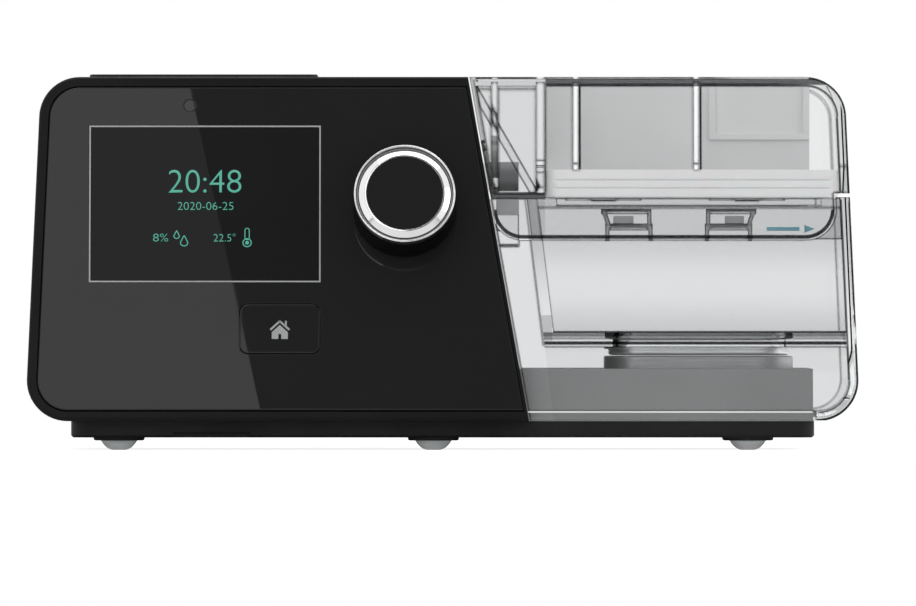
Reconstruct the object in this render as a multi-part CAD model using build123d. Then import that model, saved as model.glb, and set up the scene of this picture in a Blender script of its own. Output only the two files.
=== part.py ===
from build123d import *
from math import cos, sin, tan, radians
import os

# A sleep-therapy machine: a black main unit on the left and a clear water chamber on the right.
# Millimetres. +X is to the machine's right as seen from the front, -Y is the front, +Z is up.
# The origin is the centre of the machine's footprint box, on the table.

# ---- overall sizes -------------------------------------------------------------------------
unit_width = 150.3          # main unit: left side to the partition, at mid height
chamber_width = 114.7       # water chamber: the partition at mid height to the right side
body_depth = 180.0          # lower front edge to the rear face
outlet_reach = 14.0         # air outlet tube, past the rear face
body_bottom = 9.25
body_top = 119.2
corner_r = 13.0             # rounded corners of the front outline
side_draft = radians(2.4)   # each side leans in towards the top
face_tilt = radians(17.0)   # the front face leans back
partition_slant = radians(10.0)
edge_r = 1.2                # front and rear outer edges

# ---- walls and clearances ------------------------------------------------------------------
casing_wall = 2.6
lid_wall = 3.0
lid_side_wall = 1.4         # the lid's wall beside the partition
tank_wall = 3.0
fit_gap = 0.3               # between covers and what they sit in
slide_gap = 0.4             # between the water chamber and the main unit
shaft_gap = 0.06            # running clearance, on the radius
duct_wall = 1.6

# ---- front panel and its fittings ----------------------------------------------------------
rim_width = 3.0             # casing rim around the glossy panel
rim_groove = 0.4
partition_rim = 0.9         # the same rim beside the partition
panel_thickness = 2.4
ledge_width = 3.5
ledge_thickness = 2.0
window_width = 74.0
window_height = 52.4
window_left = 19.6          # from the unit's left side
window_top = 15.6           # from the body's top
frame_line = 0.5
frame_depth = 1.0
window_recess = 0.1
window_thickness = 1.6
set_gap = 0.05              # round small fittings set in the panel
button_width = 25.4
button_height = 16.3
button_r = 2.5
button_below_window = 7.0
button_travel = 0.6
button_proud = 0.1          # the button's cap stands out from the panel
lens_r = 2.05
lens_above_window = 6.4
knob_from_partition = 29.9
knob_from_top = 42.0
knob_r = 16.6
knob_ring_r = 16.2
knob_face_r = 12.3
knob_height = 16.0
knob_travel = 0.8
press_spare = 0.2           # room left when the knob or the button is pressed in
shaft_r = 3.0
shaft_flat = 2.3            # distance of the flat from the shaft's axis
bushing_r = 4.6
board_depth = 8.9           # control board's front face, behind the panel's outer face
board_thickness = 1.6

# ---- base and feet -------------------------------------------------------------------------
tray_inset = 14.0
tray_front_inset = 9.0
tray_rear_inset = 7.0
tray_bottom = 4.0
tray_wall = 3.0
tray_floor = 2.5
foot_cup_r = 8.15
foot_cup_bottom = 3.0
foot_dome_r = 5.8
foot_flat_r = 2.0
foot_inset_left = 15.2      # from the tray's ends
foot_inset_right = 21.1
foot_inset_y = 12.0
rear_feet_out = 1.8         # the outer rear feet stand this much wider
tray_edge = 0.7

# ---- inside the main unit ------------------------------------------------------------------
chassis_bottom = 22.0
chassis_thickness = 2.4
pcb_bottom = 14.5
blower_r = 35.0
blower_bottom = 28.0
blower_split = 44.0
blower_top = 60.0
blower_wall = 2.0
blower_from_left = 60.0
blower_from_rear = 75.0
impeller_r = 28.0
impeller_blades = 9
motor_r = 14.0
motor_shaft_r = 1.5
intake_r = 14.0
intake_bottom = 64.0
intake_top = 98.0
port_height = 5.6           # air ports through the partition
port_width = 26.0
port_r = 2.0
port_z = 87.5
port_wall = 1.8
port_reach = 6.6            # chamber side port sleeves, past the partition at mid height
port_sleeve_gap = 0.15      # the two sleeves of a port meet with this gap each side
dry_port_from_rear = 83.0
humid_port_from_rear = 38.0
outlet_r = 11.0
outlet_bore_r = 8.5
outlet_from_partition = 37.8
outlet_z = 82.0
filter_width = 46.0
filter_height = 34.0
filter_from_left = 20.5
filter_z = 62.0
card_length = 32.0
card_width = 24.0
card_thickness = 2.1
card_z = 33.0
card_from_rear = 35.0
card_gap = 0.4

# ---- water chamber -------------------------------------------------------------------------
skirt_bottom = 9.5
tank_top = 80.7
lid_bottom = 81.9
tongue_bottom = 67.4
tongue_thickness = 3.0
tongue_from_right = 5.1
tongue_r = 9.4
rim_set_back = 3.4          # vessel rim behind the face, under the tongue
vessel_top = 80.2
floor_bottom = 32.8
floor_top = 37.0
vessel_left = 14.8          # vessel's left wall at the floor, from the partition at mid height
vessel_wall = 3.2
vessel_slant = radians(7.0)
rim_ledge = 6.0
rim_ledge_bottom = 77.4
flange_reach = 8.0
dish_bottom = 30.0
dish_width = 60.3
dish_length = 84.0
dish_wall = 1.0
dish_taper = 1.4
plate_from_right = 50.4     # heater plate's middle, from the right side
plate_front = 45.0          # heater plate's front edge, behind the lower front edge
housing_top = 25.7
housing_right = 14.4        # from the right side
housing_front = 8.6         # behind the face
housing_rear = 9.5
housing_wall = 2.2
plate_top = 29.7
hinge_back = 3.2            # hinge axis behind the rear face
hinge_z = 82.0
hinge_r = 2.6
hinge_pin_r = 1.2
knuckle = 8.0
knuckle_gap = 0.4
baffle_left = 15.2          # lid's inner baffle, from the partition at mid height
baffle_right = 14.7         # and from the right side
baffle_bottom = 89.5
baffle_front = 42.0         # behind the body's upper front edge
baffle_rear = 20.0
seal_bottom = 80.6
seal_top = 89.3
seal_width = 3.2

# ---- worked out ----------------------------------------------------------------------------
half_width = (unit_width + chamber_width) / 2
left_x = -half_width
right_x = half_width
partition_x = left_x + unit_width
middle_z = (body_bottom + body_top) / 2
front_y = -(body_depth + outlet_reach) / 2
rear_y = front_y + body_depth
face_y = front_y - edge_r * (tan(face_tilt) + 1 / cos(face_tilt) - 1)
floor_z = body_bottom + casing_wall
tray_top = body_bottom
plate_x = right_x - plate_from_right
knob_x = partition_x - knob_from_partition
knob_z = body_top - knob_from_top
window_x = left_x + window_left + window_width / 2
window_half = window_height * cos(face_tilt) / 2
button_half = button_height * cos(face_tilt) / 2
window_z = body_top - window_top - window_half
button_x = window_x + window_width / 2 - button_width / 2 - fit_gap
button_z = window_z - window_half - button_half - button_below_window
lens_x = window_x - 4.8
lens_z = window_z + window_half + lens_above_window
blower_x = left_x + blower_from_left
blower_y = rear_y - blower_from_rear
dry_port_y = rear_y - dry_port_from_rear
humid_port_y = rear_y - humid_port_from_rear
outlet_x = partition_x - outlet_from_partition
hinge_y = rear_y + hinge_back


# ---- shared shapes -------------------------------------------------------------------------
standing = (Align.CENTER, Align.CENTER, Align.MIN)


def block(x0, x1, y0, y1, z0, z1):
    """A box between two corners."""
    return Pos(x0, y0, z0) * Box(x1 - x0, y1 - y0, z1 - z0, align=Align.MIN)


def rod(x, y, z, r, length):
    """An upright round bar standing on height z."""
    return Pos(x, y, z) * Cylinder(r, length, align=standing)


def rod_y(x, z, r, y0, y1):
    """A round bar along Y."""
    return Pos(x, y0, z) * Rot(X=-90) * Cylinder(r, y1 - y0, align=standing)


def rod_x(y, z, r, x0, x1):
    """A round bar along X."""
    return Pos(x0, y, z) * Rot(Y=90) * Cylinder(r, x1 - x0, align=standing)


def disc(r, low, high):
    """A round bar on its own Z axis between two heights."""
    return Pos(0, 0, low) * Cylinder(r, high - low, align=standing)


def plate(width, length, low, high):
    """A rectangular plate round its own Z axis between two heights."""
    return Pos(0, 0, low) * Box(width, length, high - low, align=standing)


def side_x(z, inset=0.0):
    """Half width of the leaning sides at a height, pulled in by an inset."""
    rise = z - body_bottom - corner_r
    return half_width - corner_r + (corner_r - inset - rise * sin(side_draft)) / cos(side_draft)


def outline(inset=0.0):
    """The body's front outline with round corners."""
    low = body_bottom + inset
    high = body_top - inset
    right_edge = [(side_x(low, inset), low), (side_x(high, inset), high)]
    left_edge = [(-side_x(high, inset), high), (-side_x(low, inset), low)]
    sketch = Plane.XZ * Polygon(*right_edge, *left_edge, align=None)
    return fillet(sketch.vertices(), corner_r - inset)


def face_plane(out=0.0):
    """The tilted front face, moved outwards along its normal. Its own Y runs up the face."""
    normal = (0, -cos(face_tilt), sin(face_tilt))
    return Plane(origin=(0, face_y, body_bottom), x_dir=(1, 0, 0), z_dir=normal).offset(out)


def on_face(x, z, out=0.0):
    """A place on the front face, given by the front view's X and Z."""
    return face_plane() * Location((x, (z - body_bottom) / cos(face_tilt), out))


def face_depth(z, out=0.0):
    """Y of the face, or of a plane parallel to it, at a height."""
    return face_y + (z - body_bottom) * tan(face_tilt) - out / cos(face_tilt)


def partition_plane(out=0.0):
    """The slanted plane between the main unit and the water chamber. Its normal points right."""
    normal = (cos(partition_slant), 0, sin(partition_slant))
    return Plane(origin=(partition_x, 0, middle_z), x_dir=(0, 1, 0), z_dir=normal).offset(out)


def partition_at(z, out=0.0):
    """X of the partition plane at a height."""
    return partition_x - (z - middle_z) * tan(partition_slant) + out / cos(partition_slant)


def left_of(shape, gap=0.0):
    """The part of a shape on the main unit's side of the partition."""
    return split(shape, bisect_by=partition_plane(-gap), keep=Keep.BOTTOM)


def right_of(shape, gap=0.0):
    """The part of a shape on the water chamber's side of the partition."""
    return split(shape, bisect_by=partition_plane(gap), keep=Keep.TOP)


def face_layer(shape, inner, outer):
    """The part of a shape between two planes parallel to the front face."""
    behind = split(shape, bisect_by=face_plane(outer), keep=Keep.BOTTOM)
    return split(behind, bisect_by=face_plane(inner), keep=Keep.TOP)


def body_block(inset=0.0, front=0.0, rear=0.0):
    """The whole body's form, pulled in all round, behind the face and at the rear."""
    length = body_depth + 60
    prism = Pos(0, rear_y - rear, 0) * extrude(outline(inset), amount=length)
    return split(prism, bisect_by=face_plane(-front), keep=Keep.BOTTOM)


def rounded_body():
    """The whole body's outer form with its front and rear edges rounded."""
    body = body_block()
    front_face = body.faces().sort_by(Axis.Y)[0]
    rear_face = body.faces().sort_by(Axis.Y)[-1]
    return fillet(front_face.edges() + rear_face.edges(), edge_r)


def slab_between(z0, z1):
    """Everything between two heights."""
    return block(left_x - 50, right_x + 50, front_y - 50, rear_y + 50, z0, z1)


def rounded_pad(width, height, r, depth):
    """A rounded rectangle on the face's own axes, from its origin inwards."""
    return extrude(RectangleRounded(width, height, r), amount=-depth)


def port_form(y, grow=0.0):
    """A rounded bar along X with an air port's section."""
    section = Plane.YZ * RectangleRounded(port_width + 2 * grow, port_height + 2 * grow, port_r + grow)
    return Pos(partition_x - 60, y, port_z) * extrude(section, amount=120)


# ---- main unit: casing and covers ----------------------------------------------------------
recess_depth = panel_thickness + 0.1
cavity_front = recess_depth + ledge_thickness
rear_boss_y = rear_y - casing_wall
rear_boss_r = 3.6
rear_boss_length = 20.0
rear_boss_inset = 2.8       # the bosses' axes, inside the inner wall
screw_boss = 2.2            # height of the base screws' bosses above the floor
top_cover_left = 19.5       # from the unit's left side
top_cover_width = 73.0
top_cover_height = 0.9
top_cover_front = front_y + 42.0
top_cover_rear = rear_y - 30.0
top_clip_width = 12.0
top_clip_thickness = 2.0


def rear_screw_places():
    """The four rear screws, near the corners of the main unit."""
    low = body_bottom + corner_r + 2
    high = body_top - corner_r - 2
    places = []
    for z in (low, high):
        places.append((-side_x(z, casing_wall + rear_boss_inset), z))
        places.append((partition_at(z, -casing_wall - rear_boss_inset), z))
    return places


def base_screw_places():
    """The four screws that hold the tray under the main unit."""
    xs = (left_x + 19.5, partition_x - 8)
    ys = (front_y + 30, rear_y - 12)
    return [(x, y) for x in xs for y in ys]


def main_casing():
    casing = left_of(rounded_body())
    casing -= left_of(body_block(casing_wall, cavity_front, -5), casing_wall)
    casing -= left_of(body_block(rim_width, -5, body_depth / 2), partition_rim) & casing_recess()
    opening = left_of(body_block(rim_width + ledge_width, -5, body_depth / 2), partition_rim + ledge_width)
    casing -= face_layer(opening, -cavity_front - 1, 5)
    for x, z in rear_screw_places():
        casing += rod_y(x, z, rear_boss_r, rear_boss_y - rear_boss_length, rear_boss_y)
        casing -= rod_y(x, z, 1.3, rear_boss_y - 14, rear_boss_y)
    for x, y in base_screw_places():
        casing += rod(x, y, floor_z - 0.5, 3.6, screw_boss + 0.5)
        casing -= rod(x, y, body_bottom - 1, base_screw_r + set_gap, 12)
    for x, y in board_stand_places():
        casing += rod(x, y, floor_z, 3.0, pcb_bottom - floor_z)
    casing -= port_form(dry_port_y, port_wall)
    casing -= port_form(humid_port_y, port_wall)
    casing -= card_slot()
    for x, y in top_clip_places():
        casing -= top_clip(x, y, body_top - casing_wall - 1, body_top + 1, 0.2)
    return casing


def casing_recess():
    """The space in front of the ledge that the front panel sits on."""
    return face_layer(body_block(0, -5, body_depth / 2), -recess_depth, 5)


def rear_panel():
    panel = left_of(body_block(casing_wall + fit_gap), casing_wall + fit_gap)
    panel &= block(left_x, right_x, rear_y - casing_wall, rear_y, 0, body_top)
    for x, z in rear_screw_places():
        panel -= rod_y(x, z, 1.7, rear_y - 5, rear_y + 1)
    panel -= rod_y(outlet_x, outlet_z, outlet_r + fit_gap, rear_y - 5, rear_y + 1)
    panel -= filter_opening()
    panel -= flap_recess()
    panel -= block(*comm_port_box(0.2))
    panel -= rod_y(jack_x, jack_z, jack_r + 0.2, rear_y - 5, rear_y + 1)
    return panel


def rear_screws():
    screws = []
    for x, z in rear_screw_places():
        shank = rod_y(x, z, 1.25, rear_boss_y - 12, rear_y)
        head = rod_y(x, z, 2.8, rear_y, rear_y + 1.6)
        head = fillet(head.edges().sort_by(Axis.Y)[-1], 0.8)
        screws.append(head + shank - block(x - 1.6, x + 1.6, rear_y + 0.8, rear_y + 2, z - 0.3, z + 0.3))
    return Compound(children=screws)


def top_clip_places():
    x = left_x + top_cover_left + top_cover_width / 2
    return [(x, top_cover_front + 10), (x, top_cover_rear - 10)]


def top_clip(x, y, low, high, gap=0.0):
    """A clip of the top cover, or the slot it passes through."""
    half_x = top_clip_width / 2 + gap
    half_y = top_clip_thickness / 2 + gap
    return block(x - half_x, x + half_x, y - half_y, y + half_y, low, high)


def top_cover():
    x0 = left_x + top_cover_left
    x1 = x0 + top_cover_width
    sheet = block(x0, x1, top_cover_front, top_cover_rear, body_top, body_top + top_cover_height)
    sheet = fillet(sheet.edges().filter_by(Axis.Z), 3.0)
    sheet = fillet(sheet.faces().sort_by(Axis.Z)[-1].edges(), 0.5)
    for x, y in top_clip_places():
        sheet += top_clip(x, y, body_top - casing_wall - 2.9, body_top + 0.2)
    return sheet


# ---- main unit: front panel ----------------------------------------------------------------
panel_post_r = 2.5
lcd_thickness = 4.2
stem_r = 2.0                # the home button's stem
stem_depth = 5.7


def panel_post_places():
    """Four posts behind the panel that carry the control board."""
    left = left_x + 13.5
    right = partition_x - 14.0
    low = body_bottom + 16.75
    high = body_top - 13.0
    return [(left, low), (right, low), (left, high), (right - 4.0, high)]


def front_panel():
    inset = rim_width + rim_groove
    panel = left_of(body_block(inset, 0, body_depth / 2), partition_rim + rim_groove)
    panel = face_layer(panel, -panel_thickness, 1)
    front_face = panel.faces().sort_by(Axis.Y)[0]
    panel = fillet(front_face.edges(), 0.4)
    panel -= on_face(window_x, window_z, 1) * Box(window_width, window_height, 10)
    hole = rounded_pad(button_width + 2 * fit_gap, button_height + 2 * fit_gap, button_r + fit_gap, 10)
    panel -= on_face(button_x, button_z, 5) * hole
    panel -= on_face(knob_x, knob_z) * Cylinder(bushing_r + 0.2, 20)
    panel -= on_face(lens_x, lens_z) * Cylinder(lens_r + 0.05, 20)
    post = disc(panel_post_r, -board_depth, -panel_thickness + 0.2)
    for x, z in panel_post_places():
        panel += on_face(x, z) * post
    return panel


def display_frame():
    outer = plate(window_width - 2 * set_gap, window_height - 2 * set_gap, -frame_depth, 0)
    inner = plate(window_width - 2 * frame_line, window_height - 2 * frame_line, -frame_depth - 1, 1)
    return on_face(window_x, window_z, set_gap) * (outer - inner)


def display_window():
    width = window_width - 2 * frame_line - 2 * set_gap
    height = window_height - 2 * frame_line - 2 * set_gap
    return on_face(window_x, window_z, -window_recess) * rounded_pad(width, height, 0.4, window_thickness)


def lcd_module():
    """Display panel in its metal tray, behind the window."""
    tray_top_depth = panel_thickness + 0.1
    screen_depth = window_recess + window_thickness + set_gap
    tray = plate(window_width + 4, window_height + 4, -tray_top_depth - lcd_thickness, -tray_top_depth)
    screen = plate(window_width - 4, window_height - 4, -tray_top_depth - 0.1, -screen_depth)
    return on_face(window_x, window_z) * (tray + screen)


def light_sensor_lens():
    lens = disc(lens_r, -panel_thickness + 0.2, 0)
    lens = fillet(lens.edges().sort_by(Axis.Z)[-1], 0.3)
    return on_face(lens_x, lens_z) * lens


def home_button():
    """The cap, and behind the panel its neck, flange and stem."""
    cap = rounded_pad(button_width, button_height, button_r, 2.0)
    cap = fillet(cap.edges().group_by(Axis.Z)[-1], 0.35)
    neck = Pos(0, 0, -1.9) * rounded_pad(button_width - 3, button_height - 3, button_r, 1.4)
    flange = Pos(0, 0, -3.1) * rounded_pad(button_width + 2, button_height + 2, button_r, 0.9)
    stem = disc(stem_r, -stem_depth, -3.9)
    return on_face(button_x, button_z, button_proud) * (cap + neck + flange + stem)


def home_switch():
    base = plate(6.2, 6.2, -board_depth, -board_depth + 1.6)
    plunger_top = button_proud - stem_depth - button_travel - press_spare
    plunger = disc(1.6, -board_depth + 1.5, plunger_top)
    return on_face(button_x, button_z) * (base + plunger)


def control_board():
    left = left_x + 8.5
    width = partition_x - 9.5 - left
    low = body_bottom + 10.75
    high = body_top - 8.0
    height = (high - low) / cos(face_tilt)
    board = plate(width, height, -board_depth - board_thickness, -board_depth)
    board = on_face(left + width / 2, (low + high) / 2) * board
    return left_of(board, casing_wall + 4.0)


# ---- knob and its encoder ------------------------------------------------------------------
encoder_top = 3.0           # encoder's front, behind the panel's outer face
encoder_width = 14.0
rotor_r = 4.4
rotor_low = -7.6
rotor_length = 3.2
skirt_wall = 2.0
knob_seat = knob_height - 2.8       # where the ring's band sits on the skirt
knob_base = knob_height - 5.0       # underside of the face disc and of the ring's inner part
ring_top = knob_height + 0.2
ring_slope = radians(27.0)          # fall of the ring's bevel
ring_blend = 0.6                    # width over which the flat turns into the bevel
ring_bevel = 2.35                   # from the ring's inner edge to the groove
groove_depth = 0.4
ring_lip = 0.65                     # width of the fine lip outside the groove
lip_sink = 0.2                      # lip below the ring's top
cap_sink = 0.1                      # face disc below the ring's top
cap_bevel = 0.2


def ring_of(points):
    """A solid turned about the knob's axis from points of (radius, height), set on the face."""
    return on_face(knob_x, knob_z) * revolve(Plane.XZ * Polygon(*points, align=None), Axis.Z)


def knob_skirt():
    """Black outer wall, with a web and a hub that grip the shaft."""
    low = knob_travel + press_spare
    top = knob_seat
    inner = knob_r - skirt_wall
    wall = [(inner, low), (knob_r - 0.2, low), (knob_r, low + 0.3), (knob_ring_r + 0.1, top), (inner, top)]
    web = [(shaft_r, 9.0), (inner + 0.5, 9.0), (inner + 0.5, knob_base), (shaft_r, knob_base)]
    hub = [(shaft_r, 2.5), (6.0, 2.5), (6.0, 9.5), (shaft_r, 9.5)]
    return ring_of(wall) + ring_of(web) + ring_of(hub)


def knob_ring():
    """The bright ring: a bevel that falls outwards to a groove, with a fine round lip outside it."""
    inner = knob_face_r
    outer = knob_ring_r
    socket = knob_r - skirt_wall
    turn_r = ring_blend / sin(ring_slope)
    half = ring_slope / 2
    blend_middle = (inner + turn_r * sin(half), ring_top - turn_r * (1 - cos(half)))
    blend_low = ring_top - turn_r * (1 - cos(ring_slope))
    bevel_r = inner + ring_bevel
    bevel_low = blend_low - (ring_bevel - ring_blend) * tan(ring_slope)
    groove_low = bevel_low - groove_depth
    lip_in = outer - ring_lip
    lip_top = ring_top - lip_sink
    lip_low = lip_top - ring_lip / 2
    blend = ThreePointArc((inner, ring_top), blend_middle, (inner + ring_blend, blend_low))
    bevel = [(inner + ring_blend, blend_low), (bevel_r, bevel_low)]
    groove = Polyline(*bevel, (bevel_r, groove_low), (lip_in, groove_low), (lip_in, lip_low))
    lip = ThreePointArc((lip_in, lip_low), (outer - ring_lip / 2, lip_top), (outer, lip_low))
    seat = Polyline((outer, lip_low), (outer, knob_seat), (inner, knob_seat), (inner, ring_top))
    section = make_face(blend + groove + lip + seat)
    band = on_face(knob_x, knob_z) * revolve(Plane.XZ * section, Axis.Z)
    return band + ring_of([(inner, knob_base), (socket, knob_base), (socket, knob_seat), (inner, knob_seat)])


def knob_cap():
    edge = knob_face_r - set_gap
    high = ring_top - cap_sink
    top = [(edge, high - cap_bevel), (edge - cap_bevel, high), (0, high)]
    return ring_of([(0, knob_base), (edge, knob_base), *top])


def shaft_form(low, high, grow=0.0):
    """The flatted end of the knob's shaft, or the space it passes through."""
    flat = Pos(0, shaft_flat + grow + 5) * plate(20, 10, low, high)
    return disc(shaft_r + grow, low, high) - flat


def knob_shaft():
    flat_top = rotor_low + rotor_length + knob_travel + press_spare
    shaft = shaft_form(rotor_low + 0.6, flat_top) + disc(shaft_r, flat_top, knob_base)
    return on_face(knob_x, knob_z) * shaft


def encoder_rotor():
    ring = disc(rotor_r, rotor_low, rotor_low + rotor_length)
    return on_face(knob_x, knob_z) * (ring - shaft_form(rotor_low - 1, 0, shaft_gap))


def encoder_body():
    case = plate(encoder_width, encoder_width, -board_depth, -encoder_top)
    bushing = disc(bushing_r, -encoder_top - 0.5, 0.6)
    room = disc(rotor_r + 0.2, rotor_low - 0.3, rotor_low + rotor_length + 0.3)
    bore = disc(shaft_r + shaft_gap, rotor_low, 5)
    return on_face(knob_x, knob_z) * (case + bushing - room - bore)


# ---- base and feet -------------------------------------------------------------------------
tray_x = half_width - tray_inset
tray_front = front_y + tray_front_inset
tray_rear = rear_y - tray_rear_inset
tray_slot_left = left_x + 46.6
tray_slot_width = 24.2
tray_boss_r = 4.5
base_screw_r = 1.5
base_head_r = 2.9


def foot_places():
    left = -tray_x + foot_inset_left
    right = tray_x - foot_inset_right
    middle = (left + right) / 2
    front = tray_front + foot_inset_y
    rear = tray_rear - foot_inset_y
    places = [(x, front) for x in (left, middle, right)]
    return places + [(x, rear) for x in (left - rear_feet_out, middle, right + rear_feet_out)]


def element_post_places():
    """Four posts on the tray that hold the heater element up under its plate."""
    xs = (plate_x - dish_width / 2 + 6, plate_x + dish_width / 2 - 6)
    ys = (front_y + plate_front + 10, front_y + plate_front + dish_length - 10)
    return [(x, y) for x in xs for y in ys]


def base_tray():
    tray = block(-tray_x, tray_x, tray_front, tray_rear, tray_bottom, tray_top)
    tray = fillet(tray.edges().filter_by(Axis.Z), 5.0)
    tray = chamfer(tray.faces().sort_by(Axis.Z)[0].edges(), tray_edge)
    inner = (-tray_x + tray_wall, tray_x - tray_wall, tray_front + tray_wall, tray_rear - tray_wall)
    tray -= block(*inner, tray_bottom + tray_floor, tray_top + 1)
    for x, y in base_screw_places():
        tray += rod(x, y, tray_bottom + 0.1, tray_boss_r, tray_top - tray_bottom - 0.1)
        tray -= rod(x, y, tray_bottom - 1, base_head_r + 0.2, 3.2)
        tray -= rod(x, y, tray_bottom - 1, base_screw_r + 0.2, 9)
    for x, y in element_post_places():
        tray += rod(x, y, tray_bottom + 1, 3.0, element_bottom - tray_bottom - 1)
    slot = block(0, tray_slot_width, tray_front - 1, tray_front + 1.8, tray_bottom - 1, tray_bottom + 1.7)
    return tray - Pos(tray_slot_left) * slot


def base_screws():
    screws = []
    for x, y in base_screw_places():
        head = rod(x, y, tray_bottom + 0.5, base_head_r, 1.6)
        shank = rod(x, y, tray_bottom + 2.0, base_screw_r, floor_z + screw_boss - tray_bottom - 2.4)
        driver_slot = block(x - 1.6, x + 1.6, y - 0.3, y + 0.3, tray_bottom, tray_bottom + 1.2)
        screws.append(head + shank - driver_slot)
    return Compound(children=screws)


def foot_cups():
    cup = disc(foot_cup_r, foot_cup_bottom, tray_bottom)
    cup = chamfer(cup.edges().sort_by(Axis.Z)[0], 0.4)
    return Compound(children=[Pos(x, y) * cup for x, y in foot_places()])


def foot_pads():
    """Soft domes with a small flat where they stand."""
    bulge = (foot_dome_r * 0.78, foot_cup_bottom * 0.42)
    arc = ThreePointArc((foot_dome_r, foot_cup_bottom), bulge, (foot_flat_r, 0))
    rest = Polyline((foot_flat_r, 0), (0, 0), (0, foot_cup_bottom), (foot_dome_r, foot_cup_bottom))
    dome = revolve(Plane.XZ * make_face(arc + rest), Axis.Z)
    return Compound(children=[Pos(x, y) * dome for x, y in foot_places()])


# ---- inside the main unit ------------------------------------------------------------------
chassis_left = left_x + 12.5
chassis_right = partition_x - 22.0
chassis_front = rear_y - 127.0
chassis_rear = rear_y - 25.0
chassis_top = chassis_bottom + chassis_thickness
pcb_top = pcb_bottom + board_thickness


def board_stand_places():
    xs = (chassis_left + 14, chassis_right - 14)
    ys = (chassis_front + 8, rear_y - 20)
    return [(x, y) for x in xs for y in ys]


def main_board():
    left = chassis_left + 9
    right = chassis_right - 9
    front = chassis_front + 3
    rear = rear_y - 14
    board = block(left, right, front, rear, pcb_bottom, pcb_top)
    chips = [(0.3, 0.3, 14, 14), (0.6, 0.35, 9, 12), (0.35, 0.65, 7, 7), (0.7, 0.7, 12, 8)]
    for share_x, share_y, width, length in chips:
        x = left + (right - left) * share_x
        y = front + (rear - front) * share_y
        board += block(x, x + width, y, y + length, pcb_top - 0.1, pcb_top + 1.2)
    return board


def inner_chassis():
    plate = block(chassis_left, chassis_right, chassis_front, chassis_rear, chassis_bottom, chassis_top)
    for x in (chassis_left + 4, chassis_right - 4):
        for y in (chassis_front + 4, chassis_rear - 4):
            plate += rod(x, y, floor_z, 3.5, chassis_bottom - floor_z + 0.5)
    return plate


def mount_places():
    reach = blower_r - 11
    return [(blower_x + sx * reach, blower_y + sy * reach) for sx in (-1, 1) for sy in (-1, 1)]


def blower_mounts():
    post = disc(4.5, chassis_top, blower_bottom)
    return Compound(children=[Pos(x, y) * post for x, y in mount_places()])


blower_outlet_x = blower_x + blower_r + 8.0
blower_outlet_width = 22.0
blower_arm_front = blower_y - blower_r
blower_arm_rear = blower_arm_front + blower_outlet_width


def volute(z0, z1, inset=0.0, reach=0.0):
    """The blower's round room with its outlet arm towards the partition."""
    room = rod(blower_x, blower_y, z0, blower_r - inset, z1 - z0)
    arm = (blower_x, blower_outlet_x + reach, blower_arm_front + inset, blower_arm_rear - inset)
    return room + block(*arm, z0, z1)


def blower_base():
    cup = volute(blower_bottom, blower_split)
    return cup - volute(blower_bottom + blower_wall, blower_split + 1, blower_wall, 2)


def blower_cover():
    cup = volute(blower_split, blower_top)
    cup -= volute(blower_split - 1, blower_top - blower_wall, blower_wall, 2)
    collar = rod(blower_x, blower_y, blower_top - 0.5, intake_r + 2, intake_bottom - blower_top + 0.5)
    return cup + collar - rod(blower_x, blower_y, blower_top - 5, intake_r, 20)


def blower_motor():
    can = rod(blower_x, blower_y, blower_bottom + blower_wall, motor_r, 14)
    can = chamfer(can.edges().sort_by(Axis.Z)[-1], 1.0)
    return can - rod(blower_x, blower_y, blower_bottom + 4, motor_shaft_r + shaft_gap, 30)


def impeller():
    """Back plate, hub and swept blades, with the shaft that runs in the motor."""
    plate_z = blower_split + 2.5
    hub_r = 6.0
    sweep = 18
    wheel = rod(blower_x, blower_y, plate_z, impeller_r, 1.2)
    wheel += rod(blower_x, blower_y, plate_z, hub_r, 8.0)
    wheel += rod(blower_x, blower_y, blower_bottom + 5, motor_shaft_r, plate_z - blower_bottom - 4)
    blade = block(hub_r - 1, impeller_r - 1.2, -0.6, 0.6, 0.5, 9.0)
    for i in range(impeller_blades):
        turn = Rot(Z=sweep + 360 * i / impeller_blades)
        wheel += Pos(blower_x, blower_y, plate_z) * turn * blade
    return wheel


duct_left = blower_outlet_x
duct_right = blower_outlet_x + 22.0
duct_bottom = blower_bottom
duct_half = 8.5             # half the height of the ducts' arms to the partition
duct_side = 3.0             # from an air port's side to the duct's outer side
duct_top = port_z + duct_half
return_rear = humid_port_y + port_width / 2 + duct_side


def air_duct():
    """From the blower's outlet up and across to the dry air port."""
    wall = duct_wall
    front = blower_arm_front - wall
    arm_front = dry_port_y - port_width / 2 - duct_side
    rear = dry_port_y + port_width / 2 + duct_side
    arm_low = port_z - duct_half
    outer = block(duct_left, duct_right, front, rear, duct_bottom - wall, duct_top)
    outer += block(duct_left, right_x, arm_front, rear, arm_low, duct_top)
    high = duct_top - wall
    inner = block(duct_left + wall, duct_right - wall, front + wall, rear - wall, duct_bottom, high)
    inner += block(duct_left + wall, right_x, arm_front + wall, rear - wall, arm_low + wall, high)
    mouth_y = (blower_arm_front + blower_wall, blower_arm_rear - blower_wall)
    mouth_z = (blower_bottom + blower_wall, blower_top - blower_wall)
    mouth = block(duct_left - 1, duct_left + 5, *mouth_y, *mouth_z)
    return left_of(outer, casing_wall) - left_of(inner, casing_wall - 1) - mouth


def return_duct():
    """From the humid air port back to the outlet tube."""
    wall = duct_wall
    left = outlet_x - outlet_r - 2
    front = humid_port_y - port_width / 2 - duct_side
    bottom = outlet_z - outlet_r - 2
    outer = left_of(block(left, right_x, front, return_rear, bottom, duct_top), casing_wall)
    inner = block(left + wall, right_x, front + wall, return_rear - wall, bottom + wall, duct_top - wall)
    hole = rod_y(outlet_x, outlet_z, outlet_bore_r, return_rear - 5, return_rear + 1)
    return outer - left_of(inner, casing_wall - 1) - hole


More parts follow.
